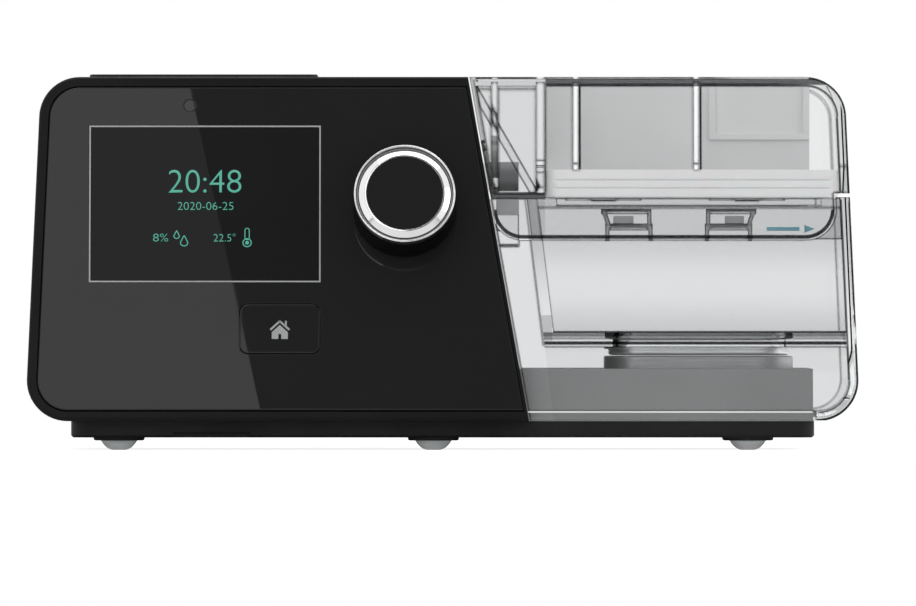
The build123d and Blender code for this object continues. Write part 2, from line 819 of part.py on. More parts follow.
def outlet_port():
    """Round tube for the hose, with a flange on the return duct."""
    start = return_rear
    tube = rod_y(outlet_x, outlet_z, outlet_r, rear_y, rear_y + outlet_reach)
    tube = fillet(tube.edges().sort_by(Axis.Y)[-1], 0.6)
    tube += rod_y(outlet_x, outlet_z, outlet_r - 0.4, start, rear_y + 0.1)
    flange = rod_y(outlet_x, outlet_z, outlet_r + 2.5, start, start + 2)
    return tube + flange - rod_y(outlet_x, outlet_z, outlet_bore_r, start - 1, rear_y + outlet_reach + 1)


def port_seals():
    """Soft sleeves in the partition's two air ports."""
    seals = []
    for y in (dry_port_y, humid_port_y):
        sleeve = port_form(y, port_wall) - port_form(y)
        seals.append(right_of(left_of(sleeve, -port_sleeve_gap), -casing_wall))
    return Compound(children=seals)


intake_left = left_x + 14.5
intake_right = blower_x + intake_r + 6
intake_front = blower_y - intake_r - 6
filter_depth = 8.0
filter_x = left_x + filter_from_left
foam_thickness = 14.0


def intake_box():
    """Box that leads the air from the filter to the blower, open at the rear."""
    wall = duct_wall
    rear = rear_y - casing_wall
    box = block(intake_left, intake_right, intake_front, rear, intake_bottom, intake_top)
    inner = (intake_left + wall, intake_right - wall, intake_front + wall, rear + 1)
    box -= block(*inner, intake_bottom + wall, intake_top - wall)
    return box - rod(blower_x, blower_y, intake_bottom - 5, intake_r, 10)


def silencer_foam():
    rear = rear_y - casing_wall - filter_depth - 8
    high = intake_top - duct_wall
    sides = (intake_left + duct_wall, intake_right - duct_wall)
    return block(*sides, intake_front + duct_wall, rear, high - foam_thickness, high)


def air_filter():
    rear = rear_y - casing_wall - 0.6
    sides = (filter_x - 1, filter_x + filter_width + 1)
    return block(*sides, rear - filter_depth, rear, intake_bottom + duct_wall, filter_z + filter_height)


def flow_sensor():
    x = duct_left + 3
    y = dry_port_y - 12
    body = block(x, x + 14, y, y + 12, duct_top, duct_top + 5)
    return body + rod(x + 4, y + 6, duct_top + 4.8, 1.3, 3.5) + rod(x + 10, y + 6, duct_top + 4.8, 1.3, 3.5)


jack_x = partition_x - 48.0
jack_z = pcb_top + 6.2
jack_r = 5.0
jack_bore_r = 3.2
jack_half = 5.6             # half the width of the socket's square body


def dc_inlet():
    """Round power socket with its centre pin."""
    sides = (jack_x - jack_half, jack_x + jack_half)
    body = block(*sides, rear_y - 17, rear_y - casing_wall, pcb_top, jack_z + jack_half)
    body += rod_y(jack_x, jack_z, jack_r, rear_y - 5, rear_y - 0.4)
    body -= rod_y(jack_x, jack_z, jack_bore_r, rear_y - 12, rear_y + 1)
    return body + rod_y(jack_x, jack_z, 1.0, rear_y - 13, rear_y - 2.0)


comm_x = partition_x - 80.0
comm_width = 12.0
comm_height = 5.4
flap_width = 20.0
flap_height = 11.0
flap_thickness = 1.6
flap_pin_r = 0.55
flap_low = pcb_top - 2.4
flap_axis_y = rear_y - flap_thickness / 2
flap_axis_z = flap_low + flap_height


def comm_port_box(grow=0.0):
    """The communication port's shell, in corners."""
    half = comm_width / 2 + grow
    high = pcb_top + comm_height + grow
    return (comm_x - half, comm_x + half, rear_y - 16, rear_y - 1.9, pcb_top - grow, high)


def comm_port():
    x0, x1, y0, y1, z0, z1 = comm_port_box()
    shell = block(x0, x1, y0, y1, z0, z1)
    shell -= block(x0 + 0.6, x1 - 0.6, y0 + 1, y1 + 1, z0 + 0.6, z1 - 0.6)
    return shell + block(x0 + 2, x1 - 2, y0 + 0.5, y1 - 2, z0 + 2.2, z0 + 3.2)


def flap_recess():
    """The shallow seat of the port flap, with blind holes for its pins."""
    gap = fit_gap
    x0 = comm_x - flap_width / 2
    x1 = comm_x + flap_width / 2
    seat_front = rear_y - flap_thickness - 0.2
    seat = block(x0 - gap, x1 + gap, seat_front, rear_y + 1, flap_low - gap, flap_axis_z + 1.2)
    return seat + rod_x(flap_axis_y, flap_axis_z, flap_pin_r + shaft_gap, x0 - 1.6, x1 + 1.6)


def door_form(x0, x1, axis_y, axis_z, free_z, thickness, pin_r, pin_out):
    """A flat door with a rolled hinge edge and a pin at each end."""
    low = min(axis_z, free_z)
    high = max(axis_z, free_z)
    door = block(x0, x1, axis_y - thickness / 2, axis_y + thickness / 2, low, high)
    door += rod_x(axis_y, axis_z, thickness / 2, x0, x1)
    return door + rod_x(axis_y, axis_z, pin_r, x0 - pin_out, x1 + pin_out)


def port_flap():
    x0 = comm_x - flap_width / 2
    x1 = comm_x + flap_width / 2
    flap = door_form(x0, x1, flap_axis_y, flap_axis_z, flap_low, flap_thickness, flap_pin_r, 1.3)
    return flap - block(comm_x - 4, comm_x + 4, rear_y - 0.5, rear_y + 1, flap_low - 1, flap_low + 1.6)


door_thickness = 2.2
door_pin_r = 0.7
door_slots = 8
door_axis_y = rear_y - door_thickness / 2
door_axis_z = filter_z + door_thickness / 2


def filter_opening():
    gap = fit_gap
    x0 = filter_x
    x1 = filter_x + filter_width
    hole = block(x0 - gap, x1 + gap, rear_y - 10, rear_y + 1, filter_z - gap, filter_z + filter_height + gap)
    return hole + rod_x(door_axis_y, door_axis_z, door_pin_r + shaft_gap, x0 - 1.9, x1 + 1.9)


def filter_cover():
    """Slotted door over the air filter, hinged at its lower edge."""
    x0 = filter_x
    x1 = filter_x + filter_width
    top = filter_z + filter_height
    door = door_form(x0, x1, door_axis_y, door_axis_z, top, door_thickness, door_pin_r, 1.6)
    pitch = (filter_width - 8) / door_slots
    for i in range(door_slots):
        x = x0 + 4 + pitch * (i + 0.5)
        door -= block(x - 1.1, x + 1.1, rear_y - 5, rear_y + 1, filter_z + 5, top - 9)
    grip_x = x0 + filter_width / 2
    return door - block(grip_x - 8, grip_x + 8, rear_y - 0.8, rear_y + 1, top - 7, top - 3)


card_y = rear_y - card_from_rear
card_left = -side_x(card_z) + 1.2


def card_slot():
    """The slot in the left side, with a thumb notch."""
    half = card_width / 2 + card_gap
    high = card_z + card_thickness + card_gap
    slot = block(left_x - 5, left_x + 10, card_y - half, card_y + half, card_z - card_gap, high)
    return slot + rod(-side_x(card_z) - 1.5, card_y, card_z - 3, 5.0, card_thickness + 6)


def sd_card():
    half = card_width / 2
    right = card_left + card_length
    card = block(card_left, right, card_y - half, card_y + half, card_z, card_z + card_thickness)
    return card - Pos(right, card_y - half, card_z) * Rot(Z=45) * Box(4.5, 4.5, 10)


def sd_socket():
    """Metal cage for the card, on a foot that stands on the chassis."""
    wall = 1.0
    half = card_width / 2 + card_gap
    x0 = left_x + 6.5
    x1 = card_left + card_length + card_gap + wall
    z0 = card_z - card_gap
    z1 = card_z + card_thickness + card_gap
    cage = block(x0, x1, card_y - half - wall, card_y + half + wall, z0 - wall, z1 + wall)
    cage -= block(x0 - 1, x1 - wall, card_y - half, card_y + half, z0, z1)
    foot = (chassis_left + 1, chassis_left + 14, card_y - half - wall, min(card_y + half, chassis_rear))
    return cage + block(*foot, chassis_top, z0 - wall / 2)


# ---- heater --------------------------------------------------------------------------------
element_thickness = 1.2
plate_r = 12.0              # corner radius of the heater plate and of the dish on it
plate_flange_top = housing_top - housing_wall - 0.1
plate_flange = 2.0
element_bottom = plate_flange_top - plate_flange - element_thickness
plate_y = front_y + plate_front + dish_length / 2


def plate_pad(grow, z0, z1):
    """An upright rounded pad in the middle of the heater."""
    section = RectangleRounded(dish_width + 2 * grow, dish_length + 2 * grow, plate_r + grow)
    return Pos(plate_x, plate_y, z0) * extrude(section, amount=z1 - z0)


def heater_housing():
    """Grey shell under the water chamber, open below, with the plate's opening on top."""
    wall = housing_wall
    left = partition_x - 20
    right = right_x - housing_right
    rear = rear_y - housing_rear
    outer = block(left, right, face_y - 5, rear, tray_top, housing_top)
    outer = face_layer(right_of(outer), -body_depth * 2, -housing_front)
    inner = block(left, right - wall, face_y - 5, rear - wall, tray_top - 1, housing_top - wall)
    inner = face_layer(right_of(inner, wall), -body_depth * 2, -housing_front - wall)
    return outer - inner - plate_pad(fit_gap, housing_top - 10, housing_top + 1)


def heater_plate():
    top = plate_pad(0, plate_flange_top - 0.5, plate_top)
    top = fillet(top.faces().sort_by(Axis.Z)[-1].edges(), 0.6)
    return top + plate_pad(3.0, plate_flange_top - plate_flange, plate_flange_top)


def heater_element():
    return plate_pad(-2.0, element_bottom, element_bottom + element_thickness)


# ---- water chamber: tank -------------------------------------------------------------------
def tongue_form(grow=0.0):
    """The lid tongue's outline through the whole depth, or the notch around it."""
    low = tongue_bottom - grow
    high = lid_bottom + 12
    right_low = side_x(low) - tongue_from_right + grow
    right_high = right_low - (high - low) * tan(side_draft)
    corners = [(partition_at(low, slide_gap - grow), low), (right_low, low), (right_high, high)]
    corners.append((partition_at(high, slide_gap - grow), high))
    sketch = Plane.XZ * Polygon(*corners, align=None)
    low_corners = sketch.vertices().sort_by(Axis.Z)[:2]
    return Pos(0, rear_y, 0) * extrude(fillet(low_corners, tongue_r + grow), amount=body_depth + 60)


def chamber_outer():
    return right_of(rounded_body(), slide_gap)


def vessel_side(out=0.0):
    """The plane of the vessel's slanted left wall. Its normal points left."""
    normal = (-cos(vessel_slant), 0, -sin(vessel_slant))
    foot = (partition_x + vessel_left, 0, floor_bottom)
    return Plane(origin=foot, x_dir=(0, 1, 0), z_dir=normal).offset(out)


def in_vessel(shape, wall=0.0):
    """The part of a shape to the right of the vessel's left wall."""
    return split(shape, bisect_by=vessel_side(-wall), keep=Keep.BOTTOM)


def knuckles(starts, arm_low, arm_high):
    """Hinge barrels at the rear with the arms that carry them."""
    parts = []
    for x in starts:
        barrel = rod_x(hinge_y, hinge_z, hinge_r, x, x + knuckle)
        parts.append(barrel + block(x, x + knuckle, rear_y - 0.5, hinge_y, arm_low, arm_high))
    return parts


def hinge_starts():
    """Left ends of the two hinges; each is a tank knuckle between two of the lid's."""
    return (partition_x + 22.0, right_x - 46.0)


def hinge_hole():
    return rod_x(hinge_y, hinge_z, hinge_pin_r + shaft_gap, partition_x, right_x)


def tank_shell():
    inner = body_block(tank_wall, tank_wall, tank_wall)
    shell = chamber_outer() & slab_between(skirt_bottom, tank_top)
    shell -= inner
    low_part = slab_between(skirt_bottom - 1, skirt_bottom + 6)
    flange_hole = face_layer(low_part, -body_depth * 2, -flange_reach)
    hole_right = tray_x + 0.7
    hole_rear = rear_y - flange_reach
    shell -= flange_hole & block(partition_x - 30, hole_right, front_y, hole_rear, 0, skirt_bottom + 6)
    notch = face_layer(tongue_form(slide_gap), -tongue_thickness - 2, 5) & slab_between(0, tank_top + 1)
    shell -= notch
    inside = inner & slab_between(floor_bottom, vessel_top)
    shell += in_vessel(inside & slab_between(floor_bottom, floor_top))
    shell += in_vessel(inside) - in_vessel(inside, vessel_wall)
    rim_back = -rim_set_back - tank_wall
    rim = in_vessel(face_layer(body_block(tank_wall, -1, 5), rim_back, -rim_set_back))
    shell += rim & slab_between(tongue_bottom - slide_gap, vessel_top)
    front_wall = face_layer(in_vessel(inside), rim_back, 0)
    shell += front_wall & slab_between(floor_bottom, tongue_bottom - slide_gap)
    shell += rim_ledges()
    shell += catch_box()
    shell -= plate_pad(-dish_wall - dish_taper, floor_bottom - 1, floor_top + 1)
    starts = [x + knuckle + knuckle_gap for x in hinge_starts()]
    for part in knuckles(starts, hinge_z - hinge_r, tank_top - 0.2):
        shell += part
    return shell - hinge_hole()


def rim_ledges():
    """An inward ledge all round the vessel's mouth, under the lid's seal."""
    front = rim_set_back + tank_wall - 0.5
    side = tank_wall - 0.5
    reach = tank_wall + rim_ledge
    whole = in_vessel(body_block(side, front, side), vessel_wall - 0.5)
    hole = in_vessel(body_block(reach, front + rim_ledge, reach), vessel_wall + rim_ledge)
    return (whole - hole) & slab_between(rim_ledge_bottom, vessel_top)


catch_low = tongue_bottom + 1.2
catch_height = 6.4
catch_depth = 14.0
catch_left = partition_x - 0.8
catch_right = partition_x + 6.6
catch_back = -tank_wall - catch_depth


def catch_box():
    """A clear pocket behind the tongue's left end that carries the soft stop."""
    behind_tongue = -tongue_thickness - slide_gap
    pocket = (catch_left, catch_right, face_y, face_y + 70)
    box = face_layer(block(*pocket, catch_low, catch_low + catch_height), catch_back, behind_tongue)
    foot = face_layer(block(*pocket, catch_low - 4, catch_low + 1), catch_back, 0.5 - tank_wall)
    box += foot - face_layer(tongue_form(slide_gap), behind_tongue, 5)
    return right_of(box, slide_gap)


def tank_stop():
    """Dark soft stop on the pocket, that cushions the tank against the main unit."""
    low = catch_low + catch_height
    stop = block(partition_at(low, 1.2), catch_right, face_y, face_y + 70, low, tank_top - 0.3)
    stop = face_layer(stop, catch_back, -tongue_thickness - 1.0)
    return right_of(stop, slide_gap + 0.4)


def tank_dish():
    """Shallow metal dish that closes the vessel's floor and stands on the heater plate."""
    rim = plate_pad(0, floor_bottom - 0.8, floor_bottom)
    body = plate_pad(-dish_taper, dish_bottom, floor_bottom - 0.4)
    body = fillet(body.faces().sort_by(Axis.Z)[0].edges(), 0.9)
    hollow = plate_pad(-dish_wall - dish_taper, dish_bottom + dish_wall, floor_bottom + 1)
    return rim + body - hollow


clip_left_x = partition_x + 41.7
clip_right_x = partition_x + 73.5
clip_half = 6.9             # from a bracket's middle to its legs
clip_bar_width = 1.4
clip_depth = 3.0
clip_out = -rim_set_back - tank_wall
clip_foot = tongue_bottom + 1.6     # where the brackets start, measured on the leaning face


def tank_clips():
    """Two catch brackets behind the rim, under the tongue's snap edge."""
    brackets = [clip_bracket(clip_left_x, -1), clip_bracket(clip_right_x, 1)]
    return Compound(children=brackets)


def clip_leg(foot, head, low, high):
    """A leg of a catch bracket, whose middle runs from one X to another on its way up."""
    half = clip_bar_width / 2
    corners = [(foot - half, low), (foot + half, low), (head + half, high), (head - half, high)]
    flat = [(x, (z - body_bottom) / cos(face_tilt)) for x, z in corners]
    return extrude(Polygon(*flat, align=None), amount=-clip_depth)


def clip_cross(left, right, low, high):
    """A level bar of a catch bracket."""
    half = clip_bar_width / 2
    corners = [(left - half, low), (right + half, low), (right + half, high), (left - half, high)]
    flat = [(x, (z - body_bottom) / cos(face_tilt)) for x, z in corners]
    return extrude(Polygon(*flat, align=None), amount=-clip_depth)


def clip_bracket(x, lean):
    """Two lower legs, a cross bar, and two upper legs of which the outer one leans out."""
    low = clip_foot
    mid = low + 4.0
    high = rim_ledge_bottom + 1.1
    left = x - clip_half
    right = x + clip_half
    outer = x + lean * clip_half
    inner = x - lean * (clip_half - 0.4)
    head = outer + lean * 1.3
    bracket = clip_leg(left, left, low, mid) + clip_leg(right, right, low, mid)
    bracket += clip_cross(left, right, mid - 0.6, mid + 0.8)
    bracket += clip_leg(outer - lean * 0.4, head, mid + 0.6, high)
    bracket += clip_leg(inner, inner, mid + 0.6, high)
    bracket += clip_cross(min(head, inner), max(head, inner), high - 0.9, high)
    return face_plane(clip_out) * bracket


def clip_pads():
    """A small dark pad in each catch bracket."""
    low = clip_foot + 5.0
    left = (clip_left_x - 5.0, clip_left_x + 1.5)
    right = (clip_right_x - 1.2, clip_right_x + 5.0)
    pads = []
    for x0, x1 in (left, right):
        middle = on_face((x0 + x1) / 2, low + 1.2, clip_out - 0.4)
        pads.append(middle * rounded_pad(x1 - x0, 2.4, 0.5, 2.0))
    return Compound(children=pads)


mark_depth = 0.25


def level_mark():
    """The highest water level: a short bar and a small triangle."""
    z = clip_foot + 3.1
    bar_x = right_x - 23.8
    bar = on_face(bar_x, z, clip_out) * plate(10.5, 1.2, -mark_depth, 0)
    arrow = extrude(Polygon((-1.6, -1.3), (1.6, 0), (-1.6, 1.3), align=None), amount=-mark_depth)
    return Compound(children=[bar, on_face(bar_x + 8.4, z, clip_out) * arrow])


def hinge_pins():
    length = 3 * knuckle + 2 * knuckle_gap
    return Compound(children=[rod_x(hinge_y, hinge_z, hinge_pin_r, x, x + length) for x in hinge_starts()])


# ---- water chamber: lid --------------------------------------------------------------------
baffle_x0 = partition_x + baffle_left
baffle_x1 = right_x - baffle_right
baffle_y0 = face_depth(body_top) + baffle_front
baffle_y1 = rear_y - baffle_rear
baffle_top = body_top - lid_wall
rib_width = 2.0
rib_gap = 12.0              # between a rib's end and the baffle
rib_middles = (baffle_x0 + 9.6, baffle_x0 + 48.2)
post_length = 34.0
first_post = (partition_x - 2.3, partition_x - 0.1)
second_post = (partition_x + 12.0, partition_x + 14.9)
strip_low_x = partition_x + 13.3
strip_high_x = partition_x - 8.2
strip_width = 3.4
strip_depth = 12.0


def lid_space():
    """The open room inside the lid."""
    return right_of(body_block(lid_wall, lid_wall, lid_wall), slide_gap + lid_side_wall)


def lid_ribs():
    """Stiffening ribs, the two posts and the slanted strip, all moulded into the lid."""
    room = lid_space() & slab_between(lid_bottom, body_top)
    half = rib_width / 2
    y0 = face_depth(lid_bottom)
    post_y = y0 + lid_wall + post_length
    low = [(strip_low_x - strip_width, lid_bottom), (strip_low_x, lid_bottom)]
    high = [(strip_high_x, body_top), (strip_high_x - strip_width, body_top)]
    strip = extrude(Plane.XZ * Polygon(*low, *high, align=None), amount=strip_depth)
    ribs = Pos(0, post_y + strip_depth + 0.2) * strip
    for x in rib_middles:
        ribs += block(x - half, x + half, y0, baffle_y0 - rib_gap, baffle_bottom - 0.2, body_top)
    for x0, x1 in (first_post, second_post):
        ribs += block(x0, x1, y0, post_y, lid_bottom, body_top)
    return ribs & room


def lid_shell():
    shell = chamber_outer() & slab_between(lid_bottom, body_top + 5)
    shell -= lid_space()
    tongue = face_layer(chamber_outer(), -tongue_thickness, 5) & tongue_form()
    shell += tongue & slab_between(0, lid_bottom + 1)
    shell += lid_ribs()
    for y in (dry_port_y, humid_port_y):
        shell -= port_form(y, port_wall) & block(0, partition_x + 4, front_y, rear_y, 0, body_top)
    for start in hinge_starts():
        starts = [start, start + 2 * (knuckle + knuckle_gap)]
        for part in knuckles(starts, lid_bottom + 0.8, hinge_z + hinge_r):
            shell += part
    return shell - hinge_hole()


def lid_ports():
    """Dark soft sleeves that meet the main unit's two air ports."""
    sleeves = []
    for y in (dry_port_y, humid_port_y):
        sleeve = port_form(y, port_wall) - port_form(y)
        reach = block(0, partition_x + port_reach, front_y, rear_y, 0, body_top)
        sleeves.append(right_of(sleeve, slide_gap) & reach)
    return Compound(children=sleeves)


def lid_baffle():
    """Frosted inner box that makes the air pass over the water, with a raised frame in front."""
    wall = duct_wall
    box = block(baffle_x0, baffle_x1, baffle_y0, baffle_y1, baffle_bottom, baffle_top)
    inner = (baffle_x0 + wall, baffle_x1 - wall, baffle_y0 + wall, baffle_y1 - wall)
    box -= block(*inner, baffle_bottom - 1, baffle_top - wall)
    frame_left = rib_middles[1] + 4.4
    frame_low = baffle_bottom + 9.7
    bar = 2.0
    frame = block(frame_left, baffle_x1, baffle_y0 - 1.2, baffle_y0 + 0.5, frame_low, baffle_top)
    frame -= block(frame_left + bar, baffle_x1 - bar, baffle_y0 - 5, baffle_y0, frame_low + bar, body_top)
    return (box + frame) & lid_space()


def lid_seal():
    """Soft pale ring under the baffle, over the vessel's rim."""
    front = face_depth(seal_top, -lid_wall) + 0.4
    rear = rear_y - lid_wall - 0.5
    right = side_x(seal_top, lid_wall) - 0.5
    wide = seal_width
    ring = block(baffle_x0, right, front, rear, seal_bottom, seal_top)
    ring = fillet(ring.edges().filter_by(Axis.Z), 4.0)
    hole = block(baffle_x0 + wide, right - wide, front + wide, rear - wide, seal_bottom - 1, seal_top + 1)
    ring -= fillet(hole.edges().filter_by(Axis.Z), 1.5)
    for z in (seal_bottom + 2.6, seal_bottom + 5.2):
        ring -= block(baffle_x0 - 5, right + 5, front - 5, front + 0.5, z, z + 0.5)
    return ring


# ---- write every piece ---------------------------------------------------------------------
pieces = [
    main_casing, rear_panel, rear_screws, top_cover, front_panel, display_frame, display_window, lcd_module,
    light_sensor_lens, home_button, home_switch, control_board, knob_skirt, knob_ring, knob_cap, knob_shaft,
    encoder_rotor, encoder_body, base_tray, base_screws, foot_cups, foot_pads, main_board, inner_chassis,
    blower_mounts, blower_base, blower_cover, blower_motor, impeller, air_duct, return_duct, outlet_port,
    port_seals, intake_box, silencer_foam, air_filter, filter_cover, flow_sensor, dc_inlet, comm_port,
    port_flap, sd_card, sd_socket, heater_housing, heater_plate, heater_element, tank_shell, tank_stop,
    tank_dish, tank_clips, clip_pads, level_mark, hinge_pins, lid_shell, lid_ports, lid_baffle, lid_seal,
]

os.makedirs("parts", exist_ok=True)
for piece in pieces:
    export_step(piece(), "parts/" + piece.__name__ + ".step")
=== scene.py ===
from math import atan2, cos, pi, radians, sin, tan

import bmesh
import bpy
from mathutils import Matrix, Vector


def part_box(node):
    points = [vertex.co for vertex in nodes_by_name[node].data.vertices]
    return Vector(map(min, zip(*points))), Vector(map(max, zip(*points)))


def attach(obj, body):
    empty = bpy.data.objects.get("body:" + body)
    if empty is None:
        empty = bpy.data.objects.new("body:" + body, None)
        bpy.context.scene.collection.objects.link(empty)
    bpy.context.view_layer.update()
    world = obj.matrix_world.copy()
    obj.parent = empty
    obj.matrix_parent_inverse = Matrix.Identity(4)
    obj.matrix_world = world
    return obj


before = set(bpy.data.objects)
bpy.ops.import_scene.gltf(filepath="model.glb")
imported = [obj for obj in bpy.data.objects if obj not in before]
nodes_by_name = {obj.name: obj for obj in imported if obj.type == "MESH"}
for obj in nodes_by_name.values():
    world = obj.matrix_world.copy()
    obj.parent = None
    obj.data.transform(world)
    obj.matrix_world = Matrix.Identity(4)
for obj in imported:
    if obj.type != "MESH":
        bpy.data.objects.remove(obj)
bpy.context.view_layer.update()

scene = bpy.context.scene

# The front face leans back. Sizes on it are millimetres in the front view: X to the right, Z up.
MM = 0.001
FACE_LEAN = radians(17.0)
FACE_FOOT_Y, FACE_FOOT_Z = -97.4217, 9.25       # where it meets the underside
FACE_NORMAL = Vector((0, -cos(FACE_LEAN), sin(FACE_LEAN)))
KNOB_X, KNOB_Z = -12.1, 77.2
GROOVE_RADII = (14.65, 15.55)       # the groove between the knob ring's bevel and its fine lip
GROOVE_EDGES = (0.28, 0.24)         # the painted shade lines at its inner and outer side
FLANGE_TOP = 12.2                   # top of the tank's flange
FLANGE_X = (27.2, 117.8)            # and its two ends
HIGHLIGHT_HALF = 0.3                     # half the width of the painted highlight strip on it
HIGHLIGHT_LEAN = 0.12                    # the highlight strip's left end leans with the partition

# Sizes of the clear water chamber, in metres. Pairs are where a painted shade line begins and ends.
FRONT_OF_LID = -0.055               # the painted shade lines are drawn on the front wall only, in front of this Y
FRONT_OF_TANK = -0.060
FRONT_FADE = 0.0005
RIB_OFFSETS = (0.0096, 0.0482)      # the lid's ribs, from the baffle's left side
RIB_HALF = 0.001
RIB_EDGE = (-0.0001, 0.0005)        # the painted shade line along a rib, from its right side
RIB_END = 0.012                     # from the ribs' free ends to the baffle
FRAME_PROUD = 0.0012                # the baffle's raised frame, in front of its wall
TOP_WALL = (0.0004, 0.0024)         # the lid's top wall, above the baffle
BAFFLE_FADE = 0.0006                # how softly the tints change at the baffle's left side
SIDE_DRAFT = radians(2.4)           # the sides lean in towards the top
SIDE_INNER = 0.13044                # inner face of the right side wall, taken down to the table
SIDE_LINE = (-0.0003, 0.0004)       # the painted shade line along that face
CORNER_BEND = 0.010                 # inner radius of the round corners at the right
CORNER_LINE = (-0.0001, 0.0005)     # the painted shade line round them
LID_CORNER = (0.11598, 0.1062)      # their centres
TANK_CORNER = (0.1195, 0.02225)
TONGUE_BENDS = (0.0256, 0.1157)     # centres of the tongue's two round corners
TONGUE_BEND_Z = 0.0768              # their height
TONGUE_LINE = (0.0083, 0.0092)      # how far the tongue's painted shade line along its edge runs from them
LID_SEAM = (0.0800, 0.0822)         # the gap between the tank and the lid
VESSEL_SLANT = radians(7.0)         # the vessel's left wall leans
VESSEL_LEFT = 0.0366                # that wall's outer face, taken down to the table
VESSEL_MIDDLE = 0.0525              # height of its lightest part, where the painted shade is least
PAINTED_SHADE_REACH = (0.002, 0.016)        # from there, where the painted shade begins and is full
PAINTED_SHADE_FOOT = (0.030, 0.036)         # below these heights it gets thin
PAINTED_SHADE_SHARES = (0.25, 0.7)          # how much of it there is below and above
FLOOR_LINES = (                     # painted shade lines where its floor shows: from, to, and how light
    (0.0361, 0.0376, 0.05), (0.0352, 0.0361, 0.13), (0.0336, 0.0347, 0.004), (0.0327, 0.0331, 0.3))

CLEAR_BEND = 1.25                   # thin moulded walls bend light less than a solid block does
# Painted shade: near-black colour for the dark lines painted along the clear walls' edges.
PAINTED_EDGE_SHADE = (0.02, 0.021, 0.022)


def on_face(x, z, out=0.0):
    """Lays a drawing in millimetres flat on the front face, round a place in the front view."""
    rise = (z - FACE_FOOT_Z) / cos(FACE_LEAN)
    lean = Matrix.Rotation(pi / 2 - FACE_LEAN, 4, "X")
    foot = Matrix.Translation(Vector((x, FACE_FOOT_Y, FACE_FOOT_Z)) * MM)
    return foot @ lean @ Matrix.Translation(Vector((0, rise, out)) * MM) @ Matrix.Scale(MM, 4)


# ---- nodes ---------------------------------------------------------------------------------
def feed(tree, socket, value):
    """Links a socket to another one, or sets it to a plain number, place or colour."""
    if isinstance(value, bpy.types.NodeSocket):
        tree.links.new(value, socket)
    elif socket.type == "RGBA":
        socket.default_value = (*value[:3], 1.0)
    else:
        socket.default_value = value


def add_node(tree, kind, **inputs):
    """A node with some of its inputs fed."""
    node = tree.nodes.new(kind)
    for label, value in inputs.items():
        feed(tree, node.inputs[label.replace("_", " ")], value)
    return node


def math_node(tree, operation, first, second=0.0):
    """One sum on values."""
    node = tree.nodes.new("ShaderNodeMath")
    node.operation = operation
    feed(tree, node.inputs[0], first)
    feed(tree, node.inputs[1], second)
    return node.outputs[0]


def product(tree, first, *others):
    """Several values or masks multiplied together."""
    for other in others:
        first = math_node(tree, "MULTIPLY", first, other)
    return first


def vector_node(tree, operation, first, second=(0.0, 0.0, 0.0)):
    """One sum on places or directions."""
    node = tree.nodes.new("ShaderNodeVectorMath")
    node.operation = operation
    feed(tree, node.inputs[0], first)
    feed(tree, node.inputs[1], second)
    return node.outputs


def length_of(tree, across, up):
    """How long the slanting side of a right-angled triangle is."""
    squares = math_node(tree, "ADD", product(tree, across, across), product(tree, up, up))
    return math_node(tree, "SQRT", squares)


def stretch(tree, value, low, high, to_low=0.0, to_high=1.0):
    """A value stretched from one range to another, kept inside it."""
    node = add_node(tree, "ShaderNodeMapRange", Value=value, From_Min=low, From_Max=high,
                    To_Min=to_low, To_Max=to_high)
    node.interpolation_type = "SMOOTHSTEP"
    return node.outputs["Result"]


def between(tree, value, low, high, soft=0.00015):
    """A mask that is bright where a place lies between two others."""
    above = stretch(tree, value, low - soft, low + soft)
    below = stretch(tree, value, high + soft, high - soft)
    return product(tree, above, below)


def blend_colours(tree, share, first, second):
    """Two colours mixed by a share."""
    node = tree.nodes.new("ShaderNodeMix")
    node.data_type = "RGBA"
    factor, a, b = node.inputs[0], node.inputs[6], node.inputs[7]
    for socket, value in ((factor, share), (a, first), (b, second)):
        feed(tree, socket, value)
    return node.outputs[2]


def object_place(tree):
    """Places in the object's own coordinates."""
    return tree.nodes.new("ShaderNodeTexCoord").outputs["Object"]


# ---- shared surface effects ----------------------------------------------------------------
def new_group(name, inputs, outputs):
    """An empty node group with its named sockets, and its two ends."""
    group = bpy.data.node_groups.new(name, "ShaderNodeTree")
    for label, value in inputs.items():
        kind = "NodeSocketColor" if isinstance(value, tuple) else "NodeSocketFloat"
        socket = group.interface.new_socket(name=label, in_out="INPUT", socket_type=kind)
        socket.default_value = (*value, 1.0) if isinstance(value, tuple) else value
    for label, kind in outputs.items():
        group.interface.new_socket(name=label, in_out="OUTPUT", socket_type="NodeSocket" + kind)
    given, result = group.nodes.new("NodeGroupInput"), group.nodes.new("NodeGroupOutput")
    return group, given.outputs, result.inputs


def make_grain():
    """The fine texture of a spark-eroded mould: small round bumps over larger soft ones."""
    group, given, result = new_group("mould_grain", {"Scale": 2400.0}, {"Height": "Float"})
    place = object_place(group)
    fine = add_node(group, "ShaderNodeTexVoronoi", Vector=place, Scale=given["Scale"])
    soft_scale = product(group, given["Scale"], 0.31)
    soft = add_node(group, "ShaderNodeTexNoise", Vector=place, Scale=soft_scale, Detail=3.0)
    bumps = product(group, fine.outputs["Distance"], 0.6)
    feed(group, result["Height"], math_node(group, "ADD", bumps, soft.outputs[0]))
    return group


def make_handling():
    """Roughness that wanders between two values, as on a surface that is touched and wiped."""
    inputs = {"Scale": 30.0, "Low": 0.3, "High": 0.4}
    group, given, result = new_group("handling", inputs, {"Roughness": "Float"})
    cloud = add_node(group, "ShaderNodeTexNoise", Vector=object_place(group), Scale=given["Scale"],
                     Detail=5.0, Roughness=0.62, Distortion=0.4)
    mask = stretch(group, cloud.outputs[0], 0.38, 0.66)
    rough = stretch(group, mask, 0.0, 1.0, given["Low"], given["High"])
    feed(group, result["Roughness"], rough)
    return group


